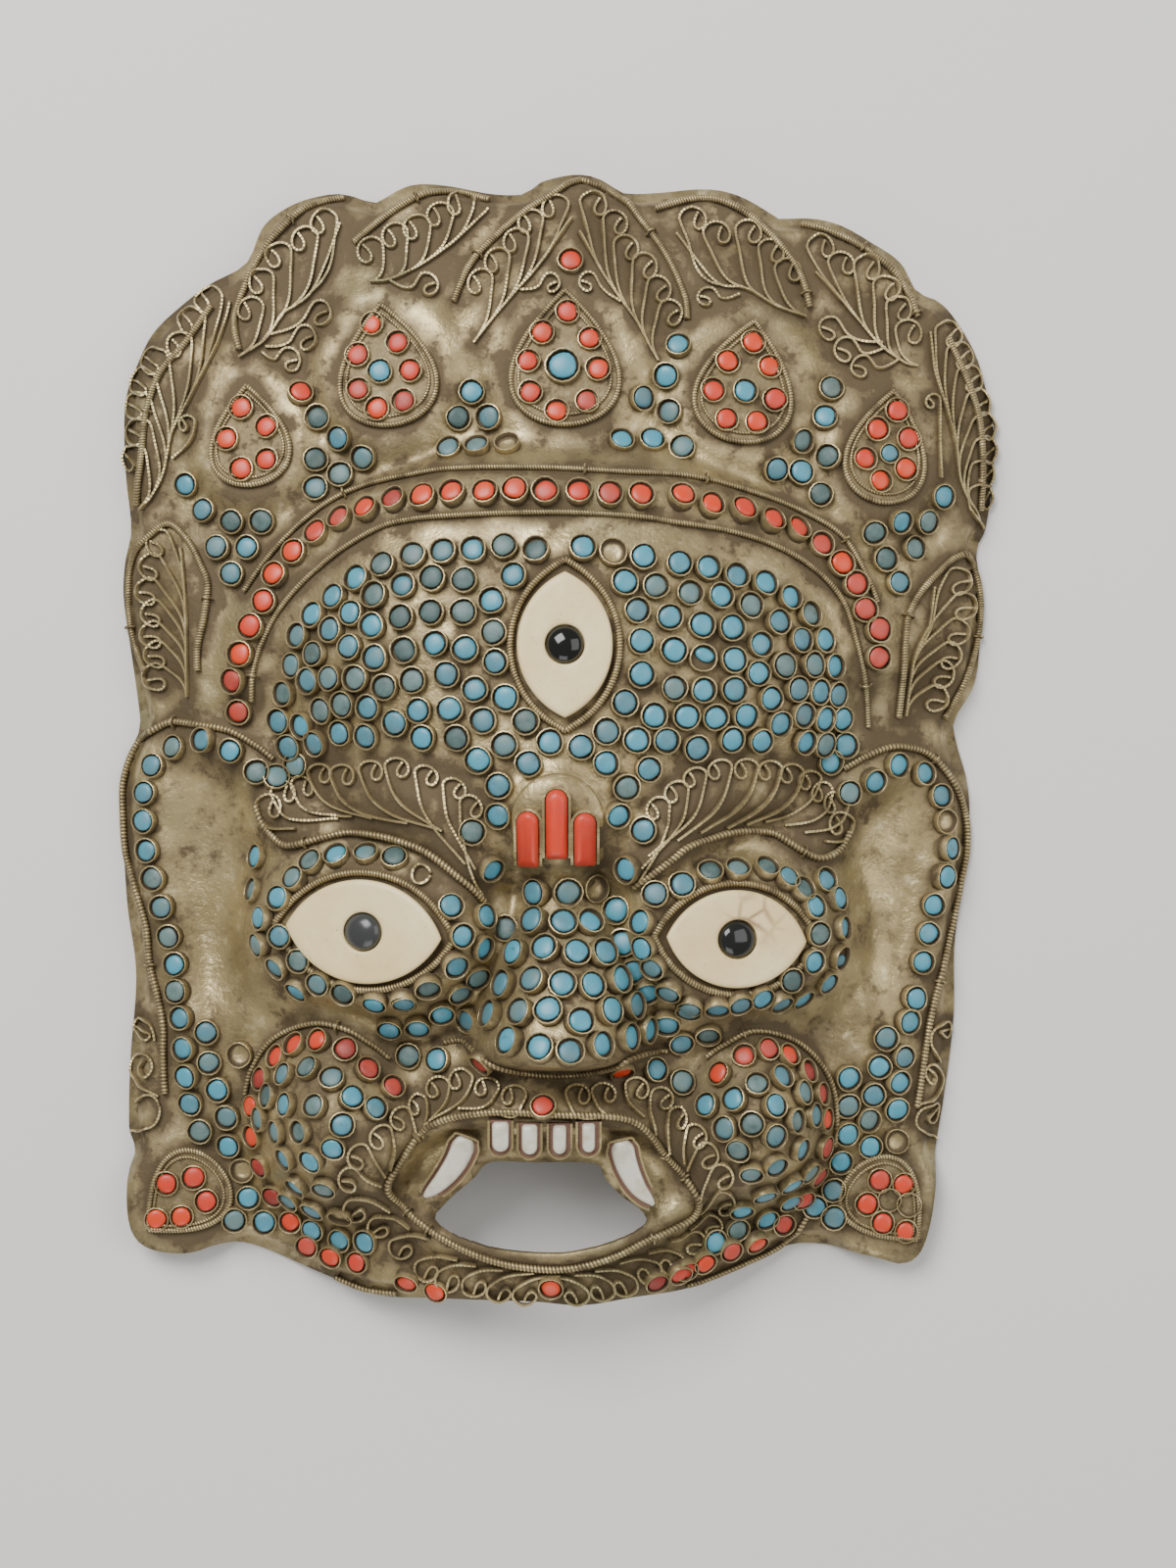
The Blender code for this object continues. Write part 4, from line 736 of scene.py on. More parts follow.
def set_stones(name, points, finish, slot, brightness, size, nodes=()):
    """Cups and stones at sighted points; a lost stone leaves its cup, and a broken one part of its disc."""
    top = sighted_on(points, lambda x, y: relief(x, y) + CUP_HEIGHT)
    normals = mask_normals(*top.T)
    places = on_sheet(top, CUP_HEIGHT) - normals * CUP_HEIGHT * normals[:, 2:]
    cups, stones = blank("grime_and_shade"), blank("shade", "grime_and_shade")
    for point, place, normal in zip(points, places, normals):
        turn, tilt_x, tilt_y, sink, shade, scale, pick = randoms.uniform(-1, 1, 7)
        normal = Vector(normal)
        fit = size * (1.0 + SIZE_SPREAD * scale)
        here = Vector(to_part([place])[0])
        empty = point in lost_stones
        cup = empty_cup if empty else cup_shapes[int(abs(pick) * 2.99)]
        stamp(cups, cup, square_to(normal, here, turn * 3.1, fit))
        grime_and_shade_places.append(place)
        if empty:
            continue
        tipped = (normal + Vector((tilt_x, tilt_y, 0.0)) * TILT_SPREAD).normalized()
        seat = here + normal * (CUP_HEIGHT - STONE_DEPTH + DEPTH_SPREAD * sink) * fit * MM
        seat += Vector((scale, tilt_x, 0.0)) * PLACE_SPREAD * MM
        shape = stone_shapes[int(abs(turn) * 4.99)]
        matrix = square_to(tipped, seat, turn * 3.1, fit * (1.0 + 0.02 * tilt_x))
        if point in chipped_stones:
            matrix = matrix @ chipped_half
        stamp(stones, shape, matrix, shade=min(1.0, max(0.0, brightness + SHADE_SPREAD * shade)))
    add_piece(f"{name}_cups", new_mesh(cups, f"{name} cups", False), cup_brass, "embossed_brass")
    add_piece(f"{name}_stones", new_mesh(stones, f"{name} stones", False), finish, slot, *nodes)


def stone_finish(name, dull, grey, middle, bright, pale, vein, vein_colour):
    """Opaque stone whose colour differs from piece to piece, with dark veins and a soft polish."""
    finish = Finish(name, middle, 0.34)
    shade = finish.math("ADD", finish.attribute("shade"), finish.math("MULTIPLY", finish.noise(340.0), 0.5))
    shade = finish.math("SUBTRACT", shade, 0.25)
    body = finish.ramp(shade, (0.0, dull), (0.22, grey), (0.45, middle), (0.75, bright), (1.0, pale))
    lines = finish.ramp(finish.noise(520.0, 6.0, 0.7), (vein, 0.0), (vein + 0.12, 1.0))
    body = finish.mix(finish.math("MULTIPLY", lines, 0.75), body, vein_colour)
    smear = finish.ramp(finish.noise(120.0, 4.0), (0.56, 0.0), (0.8, 1.0))
    body = finish.mix(finish.math("MULTIPLY", smear, 0.4), body, (0.17, 0.14, 0.10))
    # Painted shade darkens the stone's sides and underside, in the gap inside its cup
    finish.colour(finish.mix(finish.attribute("grime_and_shade"), body, (0.05, 0.035, 0.025)))
    finish.rough(finish.ramp(shade, (0.0, 0.55), (1.0, 0.32)))
    finish.bump(finish.noise(700.0), 0.12, 0.0002)
    return finish.material


cup_brass = brass_finish("strip brass of the cups", 0.16)
turquoise = stone_finish("turquoise", (0.05, 0.09, 0.085), (0.12, 0.19, 0.18), (0.07, 0.19, 0.235),
                         (0.07, 0.29, 0.385), (0.20, 0.38, 0.42), 0.62, (0.03, 0.04, 0.035))
coral = stone_finish("coral", (0.26, 0.025, 0.018), (0.46, 0.06, 0.04), (0.58, 0.04, 0.018),
                     (0.66, 0.055, 0.015), (0.72, 0.15, 0.09), 0.66, (0.12, 0.015, 0.01))

forehead_left = (
    (546, 559), (514, 556), (482, 559), (451, 561), (420, 565), (389, 575), (362, 589), (339, 608),
    (318, 627), (302, 648), (297, 679), (288, 708), (283, 736), (293, 763), (300, 781), (282, 792),
    (523, 586), (473, 591), (440, 589), (410, 596), (380, 606), (357, 625), (336, 642), (319, 667),
    (313, 695), (501, 612), (472, 624), (439, 624), (408, 629), (378, 638), (355, 660), (335, 692),
    (327, 725), (306, 741), (320, 759), (503, 645), (474, 662), (443, 656), (411, 663), (381, 671),
    (361, 692), (348, 719), (346, 748), (505, 675), (484, 703), (455, 688), (420, 694), (391, 701),
    (374, 722), (372, 752), (515, 712), (492, 735), (458, 724), (426, 725), (402, 738), (536, 736),
    (514, 760), (465, 753), (430, 753), (487, 776), (539, 779), (508, 802), (507, 833), (482, 849),
    (503, 888),
)
forehead_right = (
    (595, 557), (626, 562), (657, 567), (694, 574), (724, 578), (753, 586), (782, 594), (808, 609),
    (828, 626), (842, 653), (853, 680), (855, 709), (860, 734), (864, 761), (638, 593), (670, 597),
    (705, 604), (737, 607), (767, 617), (796, 634), (819, 653), (831, 678), (837, 706), (842, 734),
    (842, 760), (849, 778), (651, 622), (684, 629), (717, 637), (748, 640), (778, 657), (801, 679),
    (815, 703), (821, 730), (823, 758), (655, 654), (688, 663), (718, 671), (750, 673), (775, 687),
    (788, 713), (797, 739), (778, 757), (655, 688), (689, 702), (719, 704), (750, 704), (762, 731),
    (748, 755), (638, 717), (668, 730), (701, 731), (731, 732), (712, 764), (619, 746), (650, 755),
    (681, 756), (619, 779), (663, 785), (593, 762), (561, 757), (640, 804), (632, 833), (656, 847),
    (638, 888),
)
nose_stones = (
    (545, 911), (580, 911), (609, 907), (628, 929), (543, 939), (575, 940), (603, 939), (525, 972),
    (555, 966), (589, 971), (617, 971), (635, 962), (513, 1004), (542, 999), (574, 1003), (605, 1005),
    (633, 999), (647, 992), (500, 1035), (529, 1032), (559, 1030), (593, 1041), (623, 1031), (648, 1026),
    (660, 1014), (518, 1062), (550, 1068), (582, 1072), (615, 1066), (642, 1058), (661, 1051), (680, 1046),
)
nose_flanks = (
    (461, 924), (496, 935), (515, 947), (473, 955), (494, 968), (466, 987), (488, 999), (470, 1015),
    (437, 1010), (413, 1024), (451, 1036), (475, 1042), (426, 1050), (397, 1051), (416, 1078),
    (445, 1081), (653, 941), (655, 968), (665, 989), (682, 1013), (703, 1032), (668, 912), (696, 902),
    (696, 1066), (723, 1058), (671, 1091), (697, 1104),
)
eye_surrounds = (
    (261, 874), (258, 908), (282, 916), (298, 895), (316, 878), (342, 871), (373, 869), (402, 874),
    (265, 937), (284, 956), (263, 964), (281, 988), (303, 981), (303, 1011), (323, 1005), (349, 1015),
    (382, 1025), (411, 1023), (725, 888), (753, 885), (783, 884), (805, 895), (821, 906), (844, 897),
    (856, 917), (833, 925), (861, 947), (837, 953), (858, 977), (832, 982), (809, 1001), (845, 1003),
    (819, 1019), (779, 1020), (797, 1024), (756, 1026), (732, 1030), (704, 1028),
)
left_ear = (
    (261, 787), (234, 766), (204, 755), (175, 762), (154, 781), (146, 809), (145, 838), (148, 868),
    (154, 897), (163, 926), (171, 956), (177, 984), (178, 1012), (182, 1039), (210, 1054), (185, 1071),
    (213, 1085), (243, 1077), (188, 1099), (221, 1113), (193, 1127), (230, 1141), (203, 1155),
    (232, 1170), (246, 1195), (253, 1223), (239, 1246), (269, 1248),
)
right_ear = (
    (868, 809), (894, 798), (918, 781), (945, 789), (962, 812), (967, 838), (971, 866), (966, 895),
    (954, 924), (949, 953), (943, 982), (935, 1019), (929, 1043), (905, 1060), (924, 1079), (898, 1089),
    (867, 1101), (919, 1105), (892, 1118), (866, 1129), (916, 1133), (888, 1144), (865, 1158),
    (889, 1171), (916, 1165), (859, 1187), (851, 1215), (851, 1243), (832, 1232),
)
left_cheek = (
    (313, 1089), (289, 1096), (338, 1099), (360, 1119), (273, 1118), (291, 1127), (319, 1128),
    (384, 1130), (264, 1142), (281, 1155), (304, 1155), (349, 1148), (290, 1183), (316, 1185),
    (339, 1173), (302, 1211), (330, 1214), (294, 1226), (319, 1235), (318, 1256), (345, 1267),
    (347, 1242), (371, 1268),
)
right_cheek = (
    (773, 1105), (799, 1098), (748, 1121), (720, 1127), (820, 1115), (792, 1128), (738, 1152),
    (767, 1147), (813, 1144), (792, 1160), (753, 1175), (818, 1173), (831, 1138), (767, 1199),
    (793, 1191), (807, 1208), (780, 1219), (826, 1196), (807, 1227), (757, 1236), (784, 1246),
    (754, 1256), (731, 1268),
)
crown_turquoise = (
    (323, 425), (344, 447), (322, 468), (369, 467), (346, 483), (321, 497), (481, 399), (468, 426),
    (497, 425), (457, 455), (486, 453), (517, 451), (692, 350), (679, 383), (657, 406), (682, 419),
    (635, 447), (666, 447), (696, 455), (849, 395), (842, 424), (820, 450), (844, 465), (793, 479),
    (818, 481), (838, 504), (964, 507), (948, 533), (921, 533), (893, 544), (935, 559), (905, 570),
    (919, 594), (188, 494), (206, 520), (235, 532), (266, 532), (220, 558), (251, 558), (235, 585),
)
lost_stones = {(626, 562), (609, 907), (243, 1077), (246, 1195), (967, 838), (916, 1165), (347, 1242),
               (517, 451), (928, 1230), (908, 1225)}
chipped_stones = {(718, 671), (858, 977)}
for name, points, brightness, size in (
        ("forehead_left", forehead_left, 0.42, 1.0), ("forehead_right", forehead_right, 0.66, 1.0),
        ("nose", nose_stones, 0.8, 1.06), ("nose_flank", nose_flanks, 0.55, 0.97),
        ("eye_surround", eye_surrounds, 0.46, 0.95), ("left_ear", left_ear, 0.6, 0.97),
        ("right_ear", right_ear, 0.66, 0.97), ("left_cheek", left_cheek, 0.42, 0.95),
        ("right_cheek", right_cheek, 0.6, 0.95), ("crown", crown_turquoise, 0.4, 0.97)):
    set_stones(name, points, turquoise, "turquoise", brightness, size)

# The coral: red discs in the same cups, in the diadem's row over the brow, in an arc round each
# cheek, at the nostrils, under the lip and alone in the crown.
diadem_row = (
    (242, 727), (235, 695), (243, 667), (254, 639), (268, 613), (278, 585), (298, 562), (321, 542),
    (345, 527), (372, 517), (400, 507), (430, 505), (460, 500), (494, 500), (525, 498), (556, 499),
    (591, 499), (623, 502), (655, 503), (697, 504), (728, 513), (760, 518), (790, 529), (816, 538),
    (840, 554), (860, 574), (875, 595), (884, 622), (898, 642), (898, 671),
)
cheek_arcs = (
    (402, 1108), (376, 1090), (352, 1070), (323, 1061), (299, 1065), (281, 1078), (265, 1101),
    (256, 1129), (256, 1160), (264, 1191), (277, 1222), (295, 1248), (312, 1273), (336, 1284),
    (363, 1289), (733, 1095), (759, 1076), (785, 1070), (806, 1076), (825, 1093), (839, 1116),
    (843, 1142), (842, 1171), (835, 1200), (821, 1225), (801, 1251), (773, 1270), (747, 1278),
    (720, 1290), (702, 1298),
)
single_corals = (
    (491, 1086), (635, 1094), (554, 1128), (562, 1316), (414, 1310), (444, 1319), (671, 1310),
    (695, 1302), (307, 399), (582, 264),
)
set_stones("diadem_coral", diadem_row, coral, "coral", 0.6, 1.0, ("coral_row",))
set_stones("cheek_coral", cheek_arcs, coral, "coral", 0.32, 0.92)
set_stones("single_coral", single_corals, coral, "coral", 0.5, 0.95)

# The jewels: five drops on the crown and two on the ear lobes, each a thin tray of sheet brass with
# a milled wire round it whose ends cross at the point, set with coral and, in the crown, turquoise.
TRAY_WALL, TRAY_GRIME = 0.7, 0.5


def drop(tall, wide, steps=64):
    """A drop's outline about its middle, long axis along X with its point ahead, anticlockwise."""
    turns = np.linspace(math.pi, 3 * math.pi, steps, endpoint=False)
    widest = 4 / (3 * math.sqrt(3))
    across = wide / 2 * np.sin(turns) * np.abs(np.sin(turns / 2)) / widest
    return np.stack([tall / 2 * np.cos(turns), across], axis=1)


jewel_corals = {
    "crown_jewel_1": ((245, 415), (271, 434), (230, 447), (271, 468), (245, 478)),
    "crown_jewel_2": ((379, 329), (405, 348), (364, 361), (418, 377), (365, 396), (411, 408), (384, 416)),
    "crown_jewel_3": ((579, 317), (553, 338), (602, 344), (539, 367), (610, 375), (541, 399), (599, 408),
                      (568, 418)),
    "crown_jewel_4": ((769, 348), (743, 368), (786, 373), (728, 397), (791, 407), (742, 427), (773, 430)),
    "crown_jewel_5": ((916, 418), (896, 437), (928, 447), (884, 467), (925, 478), (900, 490)),
    "corner_jewel_left": ((169, 1208), (197, 1202), (210, 1226), (185, 1242), (159, 1245)),
    "corner_jewel_right": ((898, 1205), (923, 1209), (885, 1229), (901, 1248), (925, 1257), (928, 1230),
                           (908, 1225)),
}
jewel_sizes = {f"crown_jewel_{number}": jewel for number, jewel in enumerate(CROWN_JEWELS, start=1)}
jewel_sizes.update(CORNER_JEWELS)
for name, (_, _, tall, wide, _) in jewel_sizes.items():
    outline = drop(tall, wide)
    rings = [at_height(outline * grow, z)
             for grow, z in ((0.96, -0.4), (1.0, -0.2), (1.0, TRAY_WALL - 0.1), (0.985, TRAY_WALL))]
    bm = bmesh.new()
    loft(bm, seat_place(SEATS[name], np.array(rings)))
    fill_layer(bm, "grime_and_shade", TRAY_GRIME)
    add_piece(f"{name}_tray", closed_mesh(bm, f"{name} tray", False), sheet_brass, "embossed_brass", name)
    for number, (shrink, diameter) in enumerate(((0.97, FINE_WIRE), (0.83, FINE_WIRE * 0.6)), start=1):
        edge_wire = wire_on_seat(name, drop(tall, wide, 48) * shrink, diameter, 1.0)
        add_piece(f"{name}_edge_{number}", edge_wire, wire_brass, "twisted_wire")
    set_stones(f"{name}_coral", jewel_corals[name], coral, "coral", 0.62, 0.94)
for name, points, size in (("jewel_turquoise", ((387, 378), (761, 398)), 0.98),
                           ("large_turquoise", ((574, 373),), 1.3), ("small_turquoise", ((909, 462),), 0.8)):
    set_stones(name, points, turquoise, "turquoise", 0.62, size)

# The milled wires: brass wire rolled under a file until it is ribbed like a screw, then bent along
# the edges of the leaves, brows, ears, lip, nostrils and cheeks and along both sides of the diadem.
CLOSE_RIBS, WIDE_RIBS = 0.62, 0.85
heavy_wires = {
    "ear_wire_left": (
        (278, 775), (261, 762), (236, 748), (212, 742), (178, 737), (156, 747), (141, 762), (128, 795),
        (127, 828), (131, 873), (141, 907), (151, 944), (155, 981), (162, 1015), (168, 1046), (168, 1081),
        (169, 1115)),
    "ear_wire_right": (
        (861, 786), (893, 768), (918, 763), (945, 770), (965, 790), (982, 830), (985, 866), (978, 900),
        (970, 940), (956, 1003), (948, 1040), (942, 1080), (935, 1130)),
    "brow_wire_left": (
        (263, 822), (271, 842), (288, 860), (302, 862), (326, 856), (355, 850), (385, 851), (418, 860),
        (441, 871), (461, 887), (478, 903), (492, 920)),
    "brow_wire_right": (
        (647, 905), (686, 875), (700, 864), (725, 854), (753, 847), (784, 849), (805, 860), (818, 868),
        (835, 875), (852, 868), (864, 849)),
    "lip_wire": (
        (426, 1158), (451, 1144), (482, 1137), (522, 1134), (573, 1136), (614, 1138), (645, 1144),
        (665, 1158), (682, 1179), (700, 1199), (712, 1222), (706, 1240), (686, 1252), (655, 1266),
        (624, 1281), (573, 1293), (522, 1289), (482, 1277), (451, 1262), (435, 1252), (416, 1236),
        (394, 1212), (408, 1182)),
    "leaf_wire_1": ((216, 312), (188, 352), (164, 380), (150, 420), (146, 470), (143, 515)),
    "leaf_wire_2": (
        (244, 357), (240, 328), (246, 304), (258, 278), (276, 249), (294, 229), (323, 211), (352, 204)),
    "leaf_wire_3": ((361, 249), (387, 227), (424, 204), (467, 199), (498, 207)),
    "leaf_wire_4": ((463, 309), (478, 274), (498, 250), (531, 221), (563, 201), (592, 187)),
    "leaf_wire_5": ((593, 187), (631, 205), (663, 238), (684, 270), (698, 303), (702, 327)),
    "leaf_wire_6": ((668, 215), (719, 205), (756, 217), (789, 244), (813, 276), (825, 313)),
    "leaf_wire_7": ((818, 232), (847, 239), (881, 256), (910, 279), (927, 305), (936, 324)),
    "leaf_wire_8": ((966, 345), (984, 386), (997, 430), (1000, 480), (998, 520)),
    "leaf_wire_9": (
        (151, 684), (146, 673), (137, 646), (134, 608), (137, 576), (152, 549), (173, 535), (192, 551),
        (205, 576), (212, 597), (209, 629), (203, 660), (203, 684)),
    "leaf_wire_10": (
        (961, 732), (980, 699), (994, 656), (998, 613), (991, 580), (980, 566), (950, 591), (928, 623),
        (922, 656), (919, 699), (915, 732)),
}
fine_wires = {
    "cheek_wire_left": (
        (251, 1118), (257, 1093), (273, 1067), (298, 1051), (326, 1044), (355, 1051), (377, 1065),
        (396, 1081)),
    "cheek_wire_right": (
        (721, 1080), (743, 1064), (767, 1052), (795, 1056), (819, 1069), (838, 1089), (849, 1113),
        (852, 1141), (850, 1168)),
    "nose_wire": (
        (453, 1064), (471, 1062), (490, 1076), (506, 1086), (543, 1094), (584, 1095), (620, 1089),
        (645, 1078), (680, 1073)),
    "chin_wire_left": ((343, 1302), (371, 1314), (406, 1319)),
    "chin_wire_right": ((830, 1228), (819, 1247), (795, 1271), (759, 1289), (720, 1305), (700, 1311)),
    "diadem_wire_upper": (
        (250, 604), (276, 568), (318, 526), (363, 500), (420, 486), (463, 480), (547, 479), (631, 483),
        (701, 487), (755, 500), (809, 519), (855, 545), (879, 580), (894, 615)),
    "diadem_wire_lower": (
        (257, 715), (259, 681), (272, 646), (297, 608), (337, 570), (384, 540), (420, 530), (463, 526),
        (526, 523), (589, 523), (653, 527), (690, 533), (740, 541), (788, 556), (829, 580), (859, 613),
        (874, 656), (883, 699), (885, 743)),
}
for wires, diameter in ((heavy_wires, WIRE), (fine_wires, FINE_WIRE)):
    for name, points in wires.items():
        slant = 0.0 if name.startswith("ear") else 1.0
        pitch = CLOSE_RIBS if name.startswith(("leaf", "diadem")) else WIDE_RIBS
        mesh = wire_on_sheet(points, diameter, pitch, closed=name == "lip_wire", slant=slant)
        add_piece(f"{name}_milled", mesh, wire_brass, "twisted_wire", name)

# The staples: bits of thin wire pushed through small holes on both sides of a milled wire and twisted
# together behind, to tie the wire down where the solder does not hold it.
STAPLE_WIRE, STAPLE_REACH = 0.6, 1.3
staples = (
    (293, 223), (424, 201), (486, 260), (661, 240), (881, 250), (824, 300), (938, 319), (203, 610),
    (137, 640), (178, 738), (597, 477), (861, 552), (922, 627), (996, 650), (311, 857), (151, 985),
    (821, 868), (953, 775), (957, 1001), (345, 1046), (757, 1048), (431, 1162), (440, 1250), (416, 1236),
    (686, 1175), (665, 1262), (700, 1199), (350, 500), (720, 487), (880, 700), (259, 690), (150, 420),
)


def tree_of(places):
    """A search tree that finds the nearest of these places."""
    tree = KDTree(len(places))
    for index, place in enumerate(places):
        tree.insert(place, index)
    tree.balance()
    return tree


wire_tree = tree_of([place for place, _, _ in wire_places])
bm = blank("grime_and_shade")
bends = np.linspace(-0.55, math.pi + 0.55, 13)[:, None]
for place in on_sheet(sighted_on(staples, relief), 0.8):
    centre, ahead, up = wire_places[wire_tree.find(place)[1]]
    ahead = ahead / np.linalg.norm(ahead)
    side = np.cross(ahead, up)
    path = centre + STAPLE_REACH * (np.cos(bends) * side + np.sin(bends) * up)
    bm.from_mesh(milled_wire(path, np.tile(ahead, (len(path), 1)), STAPLE_WIRE))
add_piece("staples", new_mesh(bm, "staples"), wire_brass, "twisted_wire")

# The scrolls: flat brass wire set on edge, each length a stem that rises from a leaf's spine or from
# the lip, runs over in a wide loop and closes in a small eye. They fill the leaves, the brows, the
# bands round the mouth and the edges beside the ears.
SCROLL_WALL, SCROLL_HEIGHT, SCROLL_STEP, SCROLL_NOTCH = 0.5, 1.2, 0.45, 0.07
# A flat wire's four edges, in units of its wall and height: across, up, and grime with painted shade, dark at
# the foot and light along the top
SCROLL_EDGES = ((-0.5, -0.4, 0.9), (0.5, -0.4, 0.9), (0.5, 1.0, 0.15), (-0.5, 1.0, 0.15))
LEAF_LOOP, SMALL_LOOP = 13.0, 11.5
# One loop in units of its radius, across and up from its middle, the stem coming up on the plus side
LOOP = ((1.0, 0.15), (0.84, 0.7), (0.3, 1.02), (-0.35, 0.95), (-0.85, 0.5), (-0.98, -0.1), (-0.78, -0.65),
        (-0.38, -0.92), (0.0, -0.78), (0.08, -0.42), (-0.16, 0.0), (-0.6, 0.42))


def unit(vector):
    return np.asarray(vector, float) / max(np.hypot(*vector), 1e-9)


def scroll_line(foot, loop, hand, radius, up=None, start=None):
    """A stem from its foot into a loop, which turns anticlockwise as seen where hand is 1."""
    foot, loop = np.array(foot, float), np.array(loop, float)
    up = unit(loop - foot) if up is None else unit(up)
    beside = np.array((-up[1], up[0])) * hand
    touch = loop + (beside - 0.35 * up) * radius
    chord = unit(touch - foot)
    if start is None:
        start = 2 * (chord @ up) * chord - up + 1.5 * chord
    pull = 0.42 * np.hypot(*(touch - foot))
    corners = foot, foot + unit(start) * pull, touch - up * pull, touch
    stem = []
    for t in np.linspace(0.0, 1.0, 9)[:-1]:
        a, b, c, d = corners
        stem.append((1 - t) ** 3 * a + 3 * (1 - t) ** 2 * t * b + 3 * (1 - t) * t * t * c + t**3 * d)
    ring = [loop + (beside * across + up * along) * radius for across, along in LOOP]
    return [tuple(place) for place in stem + ring]


def flat_wire(bm, points):
    """A flat wire standing on edge along sighted points, its upper edge faintly milled."""
    line = smooth_line(sighted_on(points, relief), SCROLL_STEP)
    ups = mask_normals(*line.T, reach=1.6)
    path = on_sheet(line)
    side = unit_rows(np.cross(np.gradient(path, axis=0), ups))
    notch = SCROLL_NOTCH * (np.arange(len(path)) % 2)[:, None]
    rings = [path + side * u * SCROLL_WALL + ups * (v - notch * (v > 0)) * SCROLL_HEIGHT
             for u, v, _ in SCROLL_EDGES]
    grime_and_shade = np.tile([value for _, _, value in SCROLL_EDGES], (len(path), 1))
    loft(bm, to_part(np.stack(rings, axis=1)), grime_and_shade=grime_and_shade)
    grime_and_shade_places.extend(path[::2])


def spread(line, count, first=0.0, last=1.0):
    """Places spread evenly along a line of sighted points."""
    fine = smooth_line(line, 2.0)
    return [tuple(fine[round((len(fine) - 1) * t)]) for t in np.linspace(first, last, count)]


def add_scrolls(name, lines):
    bm = blank("grime_and_shade")
    for line in lines:
        flat_wire(bm, line)
    add_piece(name, closed_mesh(bm, name, False), wire_brass, "twisted_wire")


def add_leaning_scrolls(name, loops_and_feet, hand, upright):
    """Scrolls that lean from foot to loop, their loops drawn this strongly towards the crown."""
    lines = []
    for loop, foot in loops_and_feet:
        lean = unit(np.array(loop) - foot)
        lines.append(scroll_line(foot, loop, hand, SMALL_LOOP, up=lean + (0.0, -upright)))
    add_scrolls(name, lines)


# A leaf's number: the hand of its loops, its spine from the top down, and its loops from the top down
leaf_scrolls = {
    1: (1, ((235, 308), (227, 344), (209, 380), (189, 419), (177, 441), (167, 486), (146, 520)),
        ((214, 308), (197, 330), (184, 353), (160, 370), (147, 391), (143, 415), (144, 442), (138, 468))),
    2: (1, ((347, 229), (320, 296), (288, 322), (274, 344), (244, 364)),
        ((331, 229), (312, 246), (286, 262), (268, 289), (257, 318))),
    3: (1, ((498, 215), (460, 250), (429, 272), (400, 287), (379, 289)),
        ((470, 211), (449, 222), (426, 235), (404, 243), (379, 258))),
    4: (1, ((584, 225), (555, 266), (526, 299), (500, 330), (484, 350)),
        ((567, 214), (542, 229), (527, 249), (508, 269), (491, 290))),
    5: (-1, ((590, 238), (616, 282), (649, 329), (660, 350), (671, 368)),
        ((605, 211), (627, 230), (638, 256), (657, 274), (671, 297), (683, 321))),
    6: (-1, ((690, 240), (730, 288), (761, 296), (790, 313), (820, 324)),
        ((707, 226), (731, 241), (763, 239), (786, 259), (803, 279))),
    7: (-1, ((832, 280), (868, 319), (900, 355), (927, 374), (935, 374)),
        ((837, 254), (858, 271), (884, 275), (903, 296), (916, 317), (926, 341))),
    8: (-1, ((948, 340), (953, 380), (965, 422), (974, 456), (980, 493), (1002, 540)),
        ((966, 343), (977, 365), (987, 388), (997, 412), (1003, 436), (1004, 460), (1001, 484), (1000, 508))),
    9: (1, ((186, 560), (190, 600), (192, 639), (193, 711)),
        ((164, 555), (157, 579), (154, 604), (159, 626), (159, 648), (163, 668), (162, 691))),
    10: (-1, ((952, 600), (944, 647), (931, 671), (922, 730)),
         ((975, 594), (980, 619), (973, 645), (966, 669), (959, 688), (952, 712))),
}
# Single curls beside the leaves: the hand, the foot, the loop, its radius and the way it points
leaf_curls = {
    1: ((1, (177, 468), (193, 433), 8, (0.1, -1)),),
    2: ((-1, (276, 342), (328, 321), 12, (0.5, -1)), (-1, (271, 354), (313, 346), 12, (0.5, -1)),
        (-1, (267, 360), (296, 369), 12, (0.6, -1))),
    3: ((-1, (396, 287), (436, 292), 11, (0.5, -1)),),
    5: ((-1, (531, 297), (562, 290), 9, (0.5, -1)), (1, (633, 309), (600, 289), 9, (-0.5, -1))),
    6: ((1, (754, 302), (722, 304), 10, (-0.5, -1)),),
    7: ((1, (900, 350), (846, 336), 12, (-0.5, -1)), (1, (903, 355), (862, 358), 12, (-0.5, -1)),
        (1, (915, 369), (879, 376), 11, (-0.6, -1))),
    8: ((1, (958, 487), (950, 411), 7, (0, -1)),),
}
for number, (hand, spine, loops) in leaf_scrolls.items():
    feet = spread(spine, len(loops), 0.42, 1.0)
    starts = -np.gradient(np.array(feet), axis=0)
    lines = [scroll_line(foot, loop, hand, LEAF_LOOP, start=start)
             for foot, loop, start in zip(feet, loops, starts)]
    lines += [scroll_line(foot, loop, hand, radius, up)
              for hand, foot, loop, radius, up in leaf_curls.get(number, ())]
    lines.append(spread(spine, 12))
    add_scrolls(f"leaf_scrolls_{number}", lines)

# Each brow: the hand of its loops, their feet, and the loops
brow_scrolls = {
    "left": (-1, ((303, 846), (347, 836), (362, 832), (382, 834), (418, 839), (449, 846), (452, 848),
                        (475, 880), (484, 885), (492, 920)),
             ((276, 824), (290, 811), (310, 805), (329, 790), (352, 792), (381, 788), (407, 785),
              (436, 793), (464, 806), (480, 824))),
    "right": (1, ((652, 900), (656, 886), (663, 874), (690, 858), (713, 849), (740, 844), (760, 840),
                        (779, 837), (800, 843), (820, 850), (840, 858)),
              ((672, 826), (690, 810), (708, 795), (733, 787), (759, 786), (783, 787), (805, 790),
               (824, 797), (838, 811), (851, 822), (856, 841))),
}
for side_name, (hand, feet, loops) in brow_scrolls.items():
    add_leaning_scrolls(f"brow_scrolls_{side_name}", zip(loops, feet), hand, 1.6)

